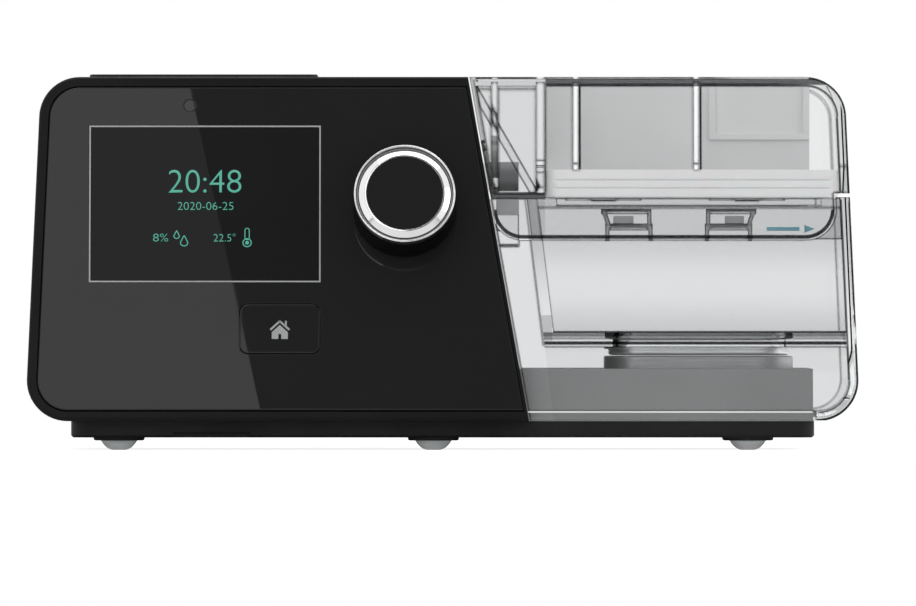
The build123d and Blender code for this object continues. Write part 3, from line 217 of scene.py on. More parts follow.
def make_tone():
    """A colour that drifts softly between two near shades."""
    inputs = {"Scale": 20.0, "Shade": (0.1, 0.1, 0.1), "Deep": (0.08, 0.08, 0.08)}
    group, given, result = new_group("tone", inputs, {"Colour": "Color"})
    place = object_place(group)
    cloud = add_node(group, "ShaderNodeTexNoise", Vector=place, Scale=given["Scale"], Detail=2.0)
    share = stretch(group, cloud.outputs[0], 0.35, 0.65)
    feed(group, result["Colour"], blend_colours(group, share, given["Shade"], given["Deep"]))
    return group


def make_soft_edges():
    """Edges broken by a small round, and a mask that is bright along them."""
    outputs = {"Normal": "Vector", "Edge": "Float"}
    group, given, result = new_group("soft_edges", {"Radius": 0.0003}, outputs)
    rounded = add_node(group, "ShaderNodeBevel", Radius=given["Radius"])
    rounded.samples = 4
    flat = group.nodes.new("ShaderNodeNewGeometry").outputs["Normal"]
    turn = vector_node(group, "DOT_PRODUCT", rounded.outputs["Normal"], flat)["Value"]
    feed(group, result["Normal"], rounded.outputs["Normal"])
    feed(group, result["Edge"], stretch(group, turn, 0.985, 0.86))
    return group


def make_brushing():
    """Fine lines left by turning or brushing, along one axis of the object."""
    inputs = {"Along X": 40.0, "Along Y": 2600.0, "Along Z": 2600.0}
    group, given, result = new_group("brushing", inputs, {"Height": "Float"})
    pull = group.nodes.new("ShaderNodeCombineXYZ")
    for label in "XYZ":
        feed(group, pull.inputs[label], given["Along " + label])
    place = vector_node(group, "MULTIPLY", object_place(group), pull.outputs[0])[0]
    lines = add_node(group, "ShaderNodeTexNoise", Vector=place, Scale=1.0, Detail=4.0)
    feed(group, result["Height"], lines.outputs[0])
    return group


def make_cells():
    """Open foam cells or matted fibres: dark pits between bright walls."""
    group, given, result = new_group("open_cells", {"Scale": 900.0}, {"Height": "Float"})
    place = object_place(group)
    cells = add_node(group, "ShaderNodeTexVoronoi", Vector=place, Scale=given["Scale"])
    cells.feature = "DISTANCE_TO_EDGE"
    feed(group, result["Height"], stretch(group, cells.outputs["Distance"], 0.0, 0.35, 1.0, 0.0))
    return group


def make_tracks():
    """Copper tracks and solder pads on a circuit board."""
    outputs = {"Track": "Float", "Pad": "Float"}
    group, given, result = new_group("board_tracks", {"Scale": 260.0}, outputs)
    place = object_place(group)
    lines = add_node(group, "ShaderNodeTexBrick", Vector=place, Scale=given["Scale"], Mortar_Size=0.06)
    dots = add_node(group, "ShaderNodeTexVoronoi", Vector=place, Scale=given["Scale"])
    feed(group, result["Track"], lines.outputs["Fac"])
    feed(group, result["Pad"], stretch(group, dots.outputs["Distance"], 0.16, 0.12))
    return group


def make_pixels():
    """The fine grid of a lit display."""
    group, given, result = new_group("pixel_grid", {"Pitch": 5600.0}, {"Mask": "Float"})
    lit = []
    for bands in "XZ":
        place = object_place(group)
        wave = add_node(group, "ShaderNodeTexWave", Vector=place, Scale=given["Pitch"])
        wave.bands_direction = bands
        lit.append(stretch(group, wave.outputs["Fac"], 0.0, 0.5, 0.8, 1.0))
    feed(group, result["Mask"], product(group, *lit))
    return group


GRAIN, HANDLING, TONE, SOFT_EDGES = make_grain(), make_handling(), make_tone(), make_soft_edges()
BRUSHING, CELLS, TRACKS, PIXELS = make_brushing(), make_cells(), make_tracks(), make_pixels()


# ---- finishes ------------------------------------------------------------------------------
def new_finish(name, **plain):
    """A material with its Principled shader's plain values set."""
    material = bpy.data.materials.new(name)
    material.use_nodes = True
    tree = material.node_tree
    shader = tree.nodes["Principled BSDF"]
    for label, value in plain.items():
        feed(tree, shader.inputs[label.replace("_", " ")], value)
    return material, tree, shader


def effect(tree, group, **values):
    """One of the shared effects placed in a material."""
    node = tree.nodes.new("ShaderNodeGroup")
    node.node_tree = group
    for label, value in values.items():
        feed(tree, node.inputs[label.replace("_", " ")], value)
    return node.outputs


def noise(tree, scale):
    """Soft waves, this many to the metre."""
    return add_node(tree, "ShaderNodeTexNoise", Vector=object_place(tree), Scale=scale, Detail=1.0).outputs[0]


def raise_bumps(tree, shader, height, depth, under=None):
    """Bumps of a real depth in metres on the shader's normal."""
    bump = add_node(tree, "ShaderNodeBump", Height=height, Strength=1.0, Distance=depth)
    if under is not None:
        feed(tree, bump.inputs["Normal"], under)
    feed(tree, shader.inputs["Normal"], bump.outputs["Normal"])


def moulded(name, shade, deep, rough, grain=2400.0, depth=0.00001, **plain):
    """Moulded plastic or rubber: drifting shade, handled gloss, fine grain, and a painted highlight along its
    edges.
    """
    material, tree, shader = new_finish(name, **plain)
    colour = effect(tree, TONE, Scale=22.0, Shade=shade, Deep=deep)["Colour"]
    edges = effect(tree, SOFT_EDGES, Radius=0.0003)
    # Painted highlight: edges are painted lighter than the plastic, as if they caught the light.
    painted_edge_highlight = tuple(1.6 * c + 0.006 for c in shade)
    colour = blend_colours(tree, product(tree, edges["Edge"], 0.5), colour, painted_edge_highlight)
    feed(tree, shader.inputs["Base Color"], colour)
    handled = effect(tree, HANDLING, Scale=34.0, Low=rough[0], High=rough[1])["Roughness"]
    feed(tree, shader.inputs["Roughness"], handled)
    raise_bumps(tree, shader, effect(tree, GRAIN, Scale=grain)["Height"], depth, edges["Normal"])
    return material


def piano_gloss(name, shade, bend):
    """Hard glossy lacquer with the faint waves of its mould and light wiping marks."""
    material, tree, shader = new_finish(name, IOR=bend)
    colour = effect(tree, TONE, Scale=14.0, Shade=shade, Deep=tuple(0.93 * c for c in shade))["Colour"]
    feed(tree, shader.inputs["Base Color"], colour)
    wiped = effect(tree, HANDLING, Scale=26.0, Low=0.004, High=0.016)["Roughness"]
    feed(tree, shader.inputs["Roughness"], wiped)
    edges = effect(tree, SOFT_EDGES, Radius=0.00025)["Normal"]
    raise_bumps(tree, shader, noise(tree, 60.0), 0.0000004, edges)
    return material


def grooved_chrome(name, shade, deep):
    """Bright chrome whose groove is painted grey between two near-black lines, as painted shade for the
    groove.
    """
    material, tree, shader = new_finish(name)
    centre = on_face(KNOB_X, KNOB_Z).translation
    turned = add_node(tree, "ShaderNodeMapping", Vector=object_place(tree), Location=centre,
                      Rotation=(pi / 2 - FACE_LEAN, 0, 0))
    turned.vector_type = "TEXTURE"
    flat = vector_node(tree, "MULTIPLY", turned.outputs[0], (1, 1, 0))[0]
    away = vector_node(tree, "LENGTH", flat)["Value"]
    low, high = (r * MM for r in GROOVE_RADII)
    inner_line, outer_line = (w * MM for w in GROOVE_EDGES)
    soft = 0.04 * MM
    inside = between(tree, away, low, high, soft)
    floor = between(tree, away, low + inner_line, high - outer_line, soft)
    metal = effect(tree, TONE, Scale=60.0, Shade=shade, Deep=deep)["Colour"]
    # Painted shade: the groove's floor is painted grey and its walls near-black, not metal.
    painted_groove_shade = blend_colours(tree, floor, (0.004, 0.004, 0.004), (0.34, 0.34, 0.34))
    feed(tree, shader.inputs["Base Color"], blend_colours(tree, inside, metal, painted_groove_shade))
    feed(tree, shader.inputs["Metallic"], math_node(tree, "SUBTRACT", 1.0, inside))
    wiped = effect(tree, HANDLING, Scale=40.0, Low=0.05, High=0.09)["Roughness"]
    rough = math_node(tree, "MAXIMUM", wiped, product(tree, inside, 0.6))
    feed(tree, shader.inputs["Roughness"], rough)
    edges = effect(tree, SOFT_EDGES, Radius=0.0002)["Normal"]
    raise_bumps(tree, shader, noise(tree, 500.0), 0.0000003, edges)
    return material


def worked_metal(name, shade, deep, rough):
    """Bare metal with its brushing or turning lines."""
    material, tree, shader = new_finish(name, Metallic=1.0)
    brushed = effect(tree, BRUSHING)["Height"]
    colour = blend_colours(tree, stretch(tree, brushed, 0.35, 0.65), shade, deep)
    feed(tree, shader.inputs["Base Color"], colour)
    feed(tree, shader.inputs["Roughness"], stretch(tree, brushed, 0.3, 0.7, *rough))
    edges = effect(tree, SOFT_EDGES, Radius=0.00025)["Normal"]
    raise_bumps(tree, shader, brushed, 0.000003, edges)
    return material


def painted_line_shade(shade):
    """A slightly cool colour for the painted shade lines in clear plastic."""
    return (shade, 1.03 * shade, 1.06 * shade)


def leaning(tree, split, angle):
    """X of a place, taken down to the table along a wall that leans."""
    return math_node(tree, "ADD", split["X"], product(tree, split["Z"], tan(angle)))


def front_part(tree, split, limit):
    """A mask that is bright in front of a place."""
    return stretch(tree, split["Y"], limit, limit - FRONT_FADE)


def beside_edge(tree, value, edge, line):
    """A mask that is bright on a line beside an edge."""
    return between(tree, value, edge + line[0], edge + line[1])


def side_line(tree, split, colour, low, high, corner, up, start):
    """A painted shade line on the front where the right side wall's inner face lies, with its round corner.
    """
    wall = leaning(tree, split, SIDE_DRAFT)
    line = beside_edge(tree, wall, SIDE_INNER, SIDE_LINE)
    line = product(tree, line, between(tree, split["Z"], low, high))
    over = math_node(tree, "MAXIMUM", math_node(tree, "SUBTRACT", split["X"], corner[0]), 0.0)
    rise = product(tree, math_node(tree, "SUBTRACT", split["Z"], corner[1]), up)
    bend = beside_edge(tree, length_of(tree, over, rise), CORNER_BEND, CORNER_LINE)
    bend = product(tree, bend, stretch(tree, rise, 0.0, 0.0002),
                   stretch(tree, split["X"], start, start + 0.0004))
    line = math_node(tree, "MAXIMUM", line, bend)
    line = product(tree, line, front_part(tree, split, FRONT_OF_LID))
    # Painted shade: the line is painted near-black on the front.
    return blend_colours(tree, line, colour, painted_line_shade(0.03))


def lid_marks(tree, colour):
    """Painted shade on the lid's front: dark lines where it shows its top wall, seam, ribs' right edges and
    tongue's edge, and a darker tint left of the baffle.
    """
    split = add_node(tree, "ShaderNodeSeparateXYZ", Vector=object_place(tree)).outputs
    (left, _, bottom), (_, _, top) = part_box("lid_baffle")
    front = front_part(tree, split, FRONT_OF_LID)
    edges = 0.0
    # Painted shade: dark lines along the ribs' right edges.
    for offset in RIB_OFFSETS:
        edge = beside_edge(tree, split["X"], left + offset + RIB_HALF, RIB_EDGE)
        edges = math_node(tree, "ADD", edge, edges)
    edges = product(tree, edges, front, between(tree, split["Z"], bottom, top))
    colour = blend_colours(tree, edges, colour, PAINTED_EDGE_SHADE)
    beside = stretch(tree, split["X"], left - BAFFLE_FADE, left)
    past = product(tree, math_node(tree, "SUBTRACT", 1.0, beside), front)
    # Painted shade: the front left of the baffle is painted darker.
    colour = blend_colours(tree, past, colour, (0.78, 0.785, 0.79))
    # Painted shade: a dark band where the top wall shows.
    band = product(tree, beside_edge(tree, split["Z"], top, TOP_WALL), front, beside)
    colour = blend_colours(tree, band, colour, painted_line_shade(0.03))
    # Painted shade: a dark line along the seam with the tank, left of the baffle.
    seam = product(tree, between(tree, split["Z"], *LID_SEAM), past)
    colour = blend_colours(tree, seam, colour, painted_line_shade(0.10))
    # Painted shade: a dark line along the tongue's edge.
    first, last = TONGUE_BENDS
    straight = math_node(tree, "MINIMUM", math_node(tree, "MAXIMUM", split["X"], first), last)
    beyond = math_node(tree, "SUBTRACT", split["X"], straight)
    under = math_node(tree, "SUBTRACT", TONGUE_BEND_Z, split["Z"])
    foot = between(tree, length_of(tree, beyond, under), *TONGUE_LINE)
    foot = product(tree, foot, stretch(tree, under, 0.0, 0.0004), front)
    colour = blend_colours(tree, foot, colour, painted_line_shade(0.06))
    return side_line(tree, split, colour, LID_SEAM[1], LID_CORNER[1], LID_CORNER, 1.0, left)


def tank_marks(tree, colour):
    """Painted shade on the tank's front wall: lines where the vessel's floor shows, and a darker tint above
    and below the vessel's middle.
    """
    split = add_node(tree, "ShaderNodeSeparateXYZ", Vector=object_place(tree)).outputs
    left_wall = leaning(tree, split, VESSEL_SLANT)
    right_wall = leaning(tree, split, SIDE_DRAFT)
    front = product(tree, stretch(tree, left_wall, VESSEL_LEFT - 0.0002, VESSEL_LEFT + 0.0002),
                    front_part(tree, split, FRONT_OF_TANK),
                    stretch(tree, right_wall, SIDE_INNER, SIDE_INNER - 0.0002))
    # Painted shade: the vessel's front is painted darker above and below its middle.
    from_middle = math_node(tree, "SUBTRACT", split["Z"], VESSEL_MIDDLE)
    absorption_and_painted_shade = stretch(tree, math_node(tree, "ABSOLUTE", from_middle), *PAINTED_SHADE_REACH)
    absorption_and_painted_shade = product(tree, absorption_and_painted_shade, stretch(tree, split["Z"], *PAINTED_SHADE_FOOT, *PAINTED_SHADE_SHARES), front)
    colour = blend_colours(tree, absorption_and_painted_shade, colour, (0.62, 0.625, 0.63))
    # Painted shade: dark lines where the vessel's floor shows through the front wall.
    for low, high, shade in FLOOR_LINES:
        line = product(tree, between(tree, split["Z"], low, high, 0.0002), front)
        colour = blend_colours(tree, line, colour, painted_line_shade(shade))
    return side_line(tree, split, colour, TANK_CORNER[1], LID_SEAM[0], TANK_CORNER, -1.0, TANK_CORNER[0])


def clear_plastic(name, shade, deep, dense, marks=None, line=0.0010):
    """Clear moulded plastic: a tint that deepens with thickness, soft flow waves, and dark lines painted
    along its edges as shade.
    """
    material, tree, shader = new_finish(name, Transmission_Weight=1.0, IOR=CLEAR_BEND)
    colour = effect(tree, TONE, Scale=12.0, Shade=shade, Deep=deep)["Colour"]
    if marks:
        colour = marks(tree, colour)
    # Painted shade: the edges are painted dark, in place of the dark edges that bent light gives.
    outline = stretch(tree, effect(tree, SOFT_EDGES, Radius=line)["Edge"], 0.0, 0.25)
    feed(tree, shader.inputs["Base Color"], blend_colours(tree, outline, colour, PAINTED_EDGE_SHADE))
    wiped = effect(tree, HANDLING, Scale=18.0, Low=0.0, High=0.015)["Roughness"]
    feed(tree, shader.inputs["Roughness"], wiped)
    raise_bumps(tree, shader, noise(tree, 45.0), 0.000002)
    path = tree.nodes.new("ShaderNodeLightPath").outputs
    straight = add_node(tree, "ShaderNodeBsdfTransparent", Color=(0.985, 0.987, 0.988))
    passing = tree.nodes.new("ShaderNodeMixShader")
    through = math_node(tree, "MAXIMUM", path["Is Shadow Ray"], path["Is Diffuse Ray"])
    for socket, value in zip(passing.inputs, (through, shader.outputs[0], straight.outputs[0])):
        feed(tree, socket, value)
    absorption_and_painted_shade = add_node(tree, "ShaderNodeVolumeAbsorption", Color=(0.0, 0.03, 0.05), Density=dense)
    result = tree.nodes["Material Output"].inputs
    feed(tree, result["Surface"], passing.outputs[0])
    feed(tree, result["Volume"], absorption_and_painted_shade.outputs[0])
    return material


def porous(name, shade, deep, scale, depth):
    """Foam or felt: pits between bright cell walls."""
    material, tree, shader = new_finish(name, Roughness=0.95)
    cells = effect(tree, CELLS, Scale=scale)["Height"]
    feed(tree, shader.inputs["Base Color"], blend_colours(tree, cells, deep, shade))
    raise_bumps(tree, shader, cells, depth)
    return material


def circuit_board(name):
    """Green solder mask over tracks, with tinned pads."""
    material, tree, shader = new_finish(name, Coat_Roughness=0.2)
    marks = effect(tree, TRACKS, Scale=260.0)
    mask = blend_colours(tree, marks["Track"], (0.005, 0.07, 0.03), (0.012, 0.13, 0.05))
    colour = blend_colours(tree, marks["Pad"], mask, (0.55, 0.56, 0.54))
    feed(tree, shader.inputs["Base Color"], colour)
    feed(tree, shader.inputs["Metallic"], marks["Pad"])
    feed(tree, shader.inputs["Roughness"], stretch(tree, marks["Track"], 0, 1, 0.32, 0.45))
    raise_bumps(tree, shader, marks["Track"], 0.00002)
    return material


def lit_marks(name, colour):
    """Display marks that glow through a fine grid."""
    material, tree, shader = new_finish(name, Base_Color=(0.01, 0.01, 0.01), Roughness=0.4,
                                        Emission_Strength=1.0)
    lit = blend_colours(tree, effect(tree, PIXELS)["Mask"], (0.0, 0.0, 0.0), colour)
    feed(tree, shader.inputs["Emission Color"], lit)
    return material


WHITE = (1.0, 1.0, 1.0)

CASING_BLACK = moulded("casing_black", (0.0085, 0.0085, 0.0088), (0.0065, 0.0065, 0.0068), (0.36, 0.46),
                       depth=0.000006, Specular_IOR_Level=0.12)
COVER_BLACK = moulded("cover_black", (0.009, 0.009, 0.0093), (0.007, 0.007, 0.0073), (0.42, 0.52),
                      grain=1900.0, depth=0.000012, Specular_IOR_Level=0.3)
TRAY_BLACK = moulded("tray_black", (0.008, 0.008, 0.0083), (0.006, 0.006, 0.0063), (0.45, 0.58),
                     grain=1700.0, depth=0.000015, Specular_IOR_Level=0.3)
PANEL_GLOSS = piano_gloss("panel_gloss", (0.0162, 0.0162, 0.0165), bend=1.38)
SKIRT_BLACK = moulded("skirt_black", (0.0022, 0.0022, 0.0023), (0.0015, 0.0015, 0.0016), (0.5, 0.6),
                      grain=3000.0, depth=0.000004, Specular_IOR_Level=0.12)
DISPLAY_GLASS = piano_gloss("display_glass", (0.0146, 0.0147, 0.0149), bend=1.18)
LENS_GLASS = piano_gloss("lens_glass", (0.034, 0.034, 0.035), bend=1.38)
FRAME_LINE = moulded("frame_line", (0.42, 0.43, 0.43), (0.36, 0.37, 0.37), (0.3, 0.4),
                     grain=3000.0, depth=0.000002)
RING_CHROME = grooved_chrome("ring_chrome", (0.93, 0.93, 0.93), (0.88, 0.88, 0.89))
STEEL = worked_metal("bright_steel", (0.62, 0.62, 0.61), (0.5, 0.5, 0.5), (0.22, 0.36))
CONTACT_METAL = worked_metal("contact_metal", (0.78, 0.6, 0.34), (0.66, 0.5, 0.28), (0.22, 0.32))
BOARD = circuit_board("circuit_board")
SWITCH_PLASTIC = moulded("switch_plastic", (0.02, 0.02, 0.021), (0.014, 0.014, 0.015), (0.45, 0.55),
                         grain=2600.0, depth=0.000006)
# Painted light: the pads and mounts glow faintly of their own, to lift them out of the shade under the tray.
GLOWING_PAD_GREY = moulded("glowing_pad_grey", (0.93, 0.935, 0.935), (0.87, 0.875, 0.875), (0.3, 0.42),
                   grain=1500.0, depth=0.000006, Subsurface_Weight=0.4, Subsurface_Scale=0.004,
                   Emission_Color=WHITE, Emission_Strength=0.07)
SOFT_DARK = moulded("soft_dark", (0.024, 0.025, 0.026), (0.018, 0.018, 0.019), (0.55, 0.7), grain=1500.0)
GASKET_GREY = moulded("gasket_grey", (0.42, 0.425, 0.425), (0.38, 0.385, 0.385), (0.5, 0.6),
                      grain=1500.0, depth=0.000008)
INNER_PLASTIC = moulded("inner_plastic", (0.5, 0.51, 0.5), (0.42, 0.43, 0.42), (0.4, 0.5),
                        grain=1800.0, depth=0.000008)
OUTLET_GREY = moulded("outlet_grey", (0.32, 0.33, 0.34), (0.27, 0.28, 0.29), (0.3, 0.42),
                      grain=2200.0, depth=0.000006)
FOAM = porous("open_foam", (0.10, 0.10, 0.11), (0.01, 0.01, 0.012), scale=650.0, depth=0.0005)
FELT = porous("filter_felt", (0.74, 0.75, 0.74), (0.42, 0.43, 0.43), scale=1900.0, depth=0.0002)
CARD_BLUE = moulded("card_blue", (0.012, 0.045, 0.17), (0.009, 0.035, 0.13), (0.35, 0.45),
                    grain=2600.0, depth=0.000005)
HOUSING_GREY = moulded("housing_grey", (0.30, 0.303, 0.303), (0.275, 0.278, 0.278), (0.5, 0.62), grain=2000.0)
PLATE_METAL = worked_metal("plate_metal", (0.62, 0.625, 0.625), (0.54, 0.545, 0.545), (0.42, 0.55))
DISH_METAL = worked_metal("dish_metal", (0.93, 0.935, 0.935), (0.86, 0.865, 0.865), (0.34, 0.44))
TANK_CLEAR = clear_plastic("tank_clear", (0.90, 0.905, 0.907), (0.89, 0.895, 0.90), 2.5, marks=tank_marks)
LID_CLEAR = clear_plastic("lid_clear", (0.945, 0.95, 0.952), (0.935, 0.94, 0.943), 2.0,
                          marks=lid_marks, line=0.0015)
CLEAR_CLIP = clear_plastic("clear_clip", (0.80, 0.81, 0.815), (0.75, 0.76, 0.77), 20.0)
BAFFLE = moulded("frosted_baffle", (0.80, 0.805, 0.805), (0.78, 0.785, 0.785), (0.4, 0.5),
                 grain=1600.0, depth=0.000006)
SEAL_PALE = moulded("pale_seal", (0.94, 0.945, 0.945), (0.91, 0.915, 0.915), (0.45, 0.55),
                    grain=1400.0, depth=0.000008, Subsurface_Weight=0.2, Subsurface_Scale=0.002)
# Painted highlight: the ribs' strips are white and glow of their own, in place of bright light on the clear
# ribs.
RIB_HIGHLIGHT_WHITE = moulded("rib_highlight_white", (0.93, 0.93, 0.93), (0.90, 0.905, 0.905), (0.6, 0.7),
                    grain=1500.0, depth=0.000004, Emission_Color=WHITE, Emission_Strength=0.6)
# Painted highlight: a pale strip in place of the light caught by the flange's rounded edge.
FLANGE_HIGHLIGHT_WHITE = moulded("flange_highlight_white", (0.86, 0.865, 0.86), (0.82, 0.825, 0.82), (0.3, 0.4),
                     grain=1500.0, depth=0.000002)
LEVEL_TEAL = moulded("level_teal", (0.17, 0.40, 0.48), (0.15, 0.36, 0.44), (0.4, 0.5),
                     grain=2600.0, depth=0.000002)
SCREEN_TEAL = lit_marks("screen_teal", (0.078, 0.445, 0.323))
HOME_GREY = moulded("home_grey", (0.40, 0.41, 0.41), (0.35, 0.36, 0.36), (0.4, 0.5),
                    grain=2600.0, depth=0.000002)

FINISHES = [
    (CASING_BLACK, "main_casing rear_panel filter_cover port_flap"),
    (COVER_BLACK, "top_cover"),
    (TRAY_BLACK, "base_tray"),
    (PANEL_GLOSS, "front_panel home_button knob_cap"),
    (LENS_GLASS, "light_sensor_lens"),
    (SKIRT_BLACK, "knob_skirt"),
    (FRAME_LINE, "display_frame"),
    (DISPLAY_GLASS, "display_window lcd_module"),
    (RING_CHROME, "knob_ring"),
    (STEEL, "knob_shaft encoder_body rear_screws base_screws hinge_pins"),
    (STEEL, "blower_motor heater_element sd_socket comm_port"),
    (CONTACT_METAL, "encoder_rotor"),
    (BOARD, "control_board main_board"),
    (SWITCH_PLASTIC, "home_switch dc_inlet flow_sensor"),
    (GLOWING_PAD_GREY, "foot_pads blower_mounts"),
    (SOFT_DARK, "foot_cups port_seals"),
    (GASKET_GREY, "lid_ports tank_stop clip_pads"),
    (INNER_PLASTIC, "inner_chassis blower_base blower_cover impeller air_duct return_duct intake_box"),
    (OUTLET_GREY, "outlet_port"),
    (FOAM, "silencer_foam"),
    (FELT, "air_filter"),
    (CARD_BLUE, "sd_card"),
    (HOUSING_GREY, "heater_housing"),
    (PLATE_METAL, "heater_plate"),
    (DISH_METAL, "tank_dish"),
    (TANK_CLEAR, "tank_shell"),
    (LID_CLEAR, "lid_shell"),
    (CLEAR_CLIP, "tank_clips"),
    (BAFFLE, "lid_baffle"),
    (SEAL_PALE, "lid_seal"),
    (LEVEL_TEAL, "level_mark"),
]


def dress(piece, material):
    """Gives the whole piece one finish."""
    if not piece.material_slots:
        piece.data.materials.append(material)
    for slot in piece.material_slots:
        slot.material = material


for material, names in FINISHES:
    for name in names.split():
        dress(nodes_by_name[name], material)


# ---- display marks and the pictogram on the home button ------------------------------------
MARK_DEPTH = 0.02           # printed thickness
WINDOW_TOP = -0.1           # the window's surface, behind the panel's face
BUTTON_TOP = 0.1


def put_in_scene(name, data):
    """Puts a mesh, lamp or camera in the scene."""
    thing = bpy.data.objects.new(name, data)
    scene.collection.objects.link(thing)
    return thing


def finished_mesh(name, bm):
    """The mesh of a drawing that is done."""
    mesh = bpy.data.meshes.new(name)
    bm.to_mesh(mesh)
    bm.free()
    return mesh


def new_piece(name, bm, material, body):
    """Adds a finished drawing to the scene on its body."""
    piece = put_in_scene(name, finished_mesh(name, bm))
    dress(piece, material)
    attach(piece, body)


def thicken(bm, step):
    """Turns flat shapes into closed ones by drawing them out along a step."""
    grown = bmesh.ops.extrude_face_region(bm, geom=bm.faces[:])["geom"]
    lifted = [v for v in grown if isinstance(v, bmesh.types.BMVert)]
    bmesh.ops.translate(bm, verts=lifted, vec=step)


def print_on(name, bm, x, z, out, material, body):
    """Gives a flat drawing its printed thickness and lays it on the face."""
    thicken(bm, (0, 0, MARK_DEPTH))
    bmesh.ops.recalc_face_normals(bm, faces=bm.faces)
    bm.transform(on_face(x, z, out))
    new_piece(name, bm, material, body)


def typed(bm, words, x, y, width, height, weight):
    """Adds digits to a drawing, fitted in a box round x and y. A weight below zero thins them."""
    line = bpy.data.curves.new("typed", "FONT")
    line.body = words
    line.offset = weight
    holder = put_in_scene("typed", line)
    bpy.context.view_layer.update()
    mesh = bpy.data.meshes.new_from_object(holder.evaluated_get(bpy.context.evaluated_depsgraph_get()))
    low = Vector((min(v.co.x for v in mesh.vertices), min(v.co.y for v in mesh.vertices), 0))
    high = Vector((max(v.co.x for v in mesh.vertices), max(v.co.y for v in mesh.vertices), 0))
    size = high - low
    fit = Matrix.Diagonal((width / size.x, height / size.y, 1, 1))
    mesh.transform(Matrix.Translation((x, y, 0)) @ fit @ Matrix.Translation(-(low + high) / 2))
    bm.from_mesh(mesh)
    bmesh.ops.remove_doubles(bm, verts=bm.verts, dist=0.0005)
    bpy.data.objects.remove(holder)
    bpy.data.curves.remove(line)
    bpy.data.meshes.remove(mesh)


def round_shape(bm, segments, radius):
    """A filled circle round the drawing's middle."""
    return bmesh.ops.create_circle(bm, cap_ends=True, segments=segments, radius=radius)["verts"]


def drawn_line(bm, verts, width):
    """Turns the filled shape just made into a line round its edge."""
    face = verts[0].link_faces[0]
    bmesh.ops.inset_region(bm, faces=[face], thickness=width, use_boundary=True, use_even_offset=True)
    bmesh.ops.delete(bm, geom=[face], context="FACES")


def drop_mark(bm, x, y, radius, line):
    """A water drop in outline."""
    ring = round_shape(bm, 28, radius)
    for v in ring:
        lift = max(0.0, v.co.y / radius)
        v.co.x *= 1 - 0.45 * lift
        v.co.y *= 1 + 0.75 * lift
    bmesh.ops.translate(bm, verts=ring, vec=(x, y, 0))
    drawn_line(bm, ring, line)


def thermometer_mark(bm, x, y):
    """The outline of an upright tube with round ends, over a bulb with its core."""
    tube = round_shape(bm, 24, 0.85)
    for v in tube:
        if v.co.y > 0.001:
            v.co.y += 2.4
    bmesh.ops.translate(bm, verts=tube, vec=(x, y, 0))
    drawn_line(bm, tube, 0.3)
    bulb_place = (x, y - 1.7, 0)
    bulb = round_shape(bm, 24, 1.5)
    bmesh.ops.translate(bm, verts=bulb, vec=bulb_place)
    drawn_line(bm, bulb, 0.34)
    bmesh.ops.translate(bm, verts=round_shape(bm, 20, 0.62), vec=bulb_place)


def bar(bm, x, y, width, height, turn=0.0):
    """A filled rectangle."""
    corners = bmesh.ops.create_grid(bm, x_segments=1, y_segments=1, size=0.5)["verts"]
    place = Matrix.Translation((x, y, 0)) @ Matrix.Rotation(turn, 4, "Z")
    bmesh.ops.transform(bm, verts=corners, matrix=place @ Matrix.Diagonal((width, height, 1, 1)))


def screen_marks():
    """Time, date, humidity and warmth, in the display's own light."""
    clock, date, damp, warmth = (bmesh.new() for _ in range(4))
    typed(clock, "20:48", 0, 0, 23.2, 7.6, -0.012)
    typed(date, "2020-06-25", 0, 0, 17.8, 2.6, -0.014)
    typed(damp, "8%", -6.0, 0, 4.8, 2.6, -0.012)
    drop_mark(damp, -0.9, 0.6, 1.05, 0.32)
    drop_mark(damp, 1.5, -1.6, 1.35, 0.32)
    typed(warmth, "22.5°", -2.6, 0, 7.0, 2.6, -0.012)
    thermometer_mark(warmth, 4.6, 0.0)
    for name, drawing, x, z in (
            ("time_digits", clock, -75.9, 85.8), ("date_digits", date, -75.7, 77.9),
            ("humidity_mark", damp, -84.0, 67.8), ("temperature_mark", warmth, -67.0, 67.8)):
        print_on(name, drawing, x, z, WINDOW_TOP, SCREEN_TEAL, "main_unit")


def home_pictogram():
    """A small house: two roof bars, a chimney and a body with its door left open."""
    house = bmesh.new()
    slope = atan2(2.9, 3.04)
    bar(house, -1.41, 1.25, 4.52, 0.66, slope)
    bar(house, 1.41, 1.25, 4.52, 0.66, -slope)
    bar(house, 1.93, 1.9, 0.6, 1.6)
    wall, foot, eaves, ridge = 2.58, -3.34, -1.1, 1.35
    jamb, head = 0.45, -1.7
    outline = [(-wall, foot), (-jamb, foot), (-jamb, head), (jamb, head), (jamb, foot), (wall, foot),
               (wall, eaves), (0, ridge), (-wall, eaves)]
    house.faces.new([house.verts.new((x, y, 0)) for x, y in outline])
    print_on("home_pictogram", house, -51.9, 38.6, BUTTON_TOP, HOME_GREY, "home_key")


# ---- painted highlights on the water chamber -----------------------------------------------
def rib_highlight_strips():
    """Painted highlights on the lid's two stiffening ribs: thin glowing white strips at their end faces, with
    broken edges.
    """
    (left, front, bottom), (_, _, top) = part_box("lid_baffle")
    gap, depth = 0.00006, 0.0003
    y = front + FRAME_PROUD - RIB_END + gap
    half = RIB_HALF - 0.0001
    for side, offset in zip(("left", "right"), RIB_OFFSETS):
        x = left + offset
        bm = bmesh.new()
        corners = [(x - half, y, bottom), (x + half, y, bottom), (x + half, y, top), (x - half, y, top)]
        bm.faces.new([bm.verts.new(corner) for corner in corners])
        thicken(bm, (0, depth, 0))
        bmesh.ops.bevel(bm, geom=bm.edges[:], offset=depth * 0.3, segments=2, profile=0.5,
                        affect="EDGES", material=-1)
        bmesh.ops.recalc_face_normals(bm, faces=bm.faces)
        new_piece("rib_painted_highlight_" + side, bm, RIB_HIGHLIGHT_WHITE, "lid")


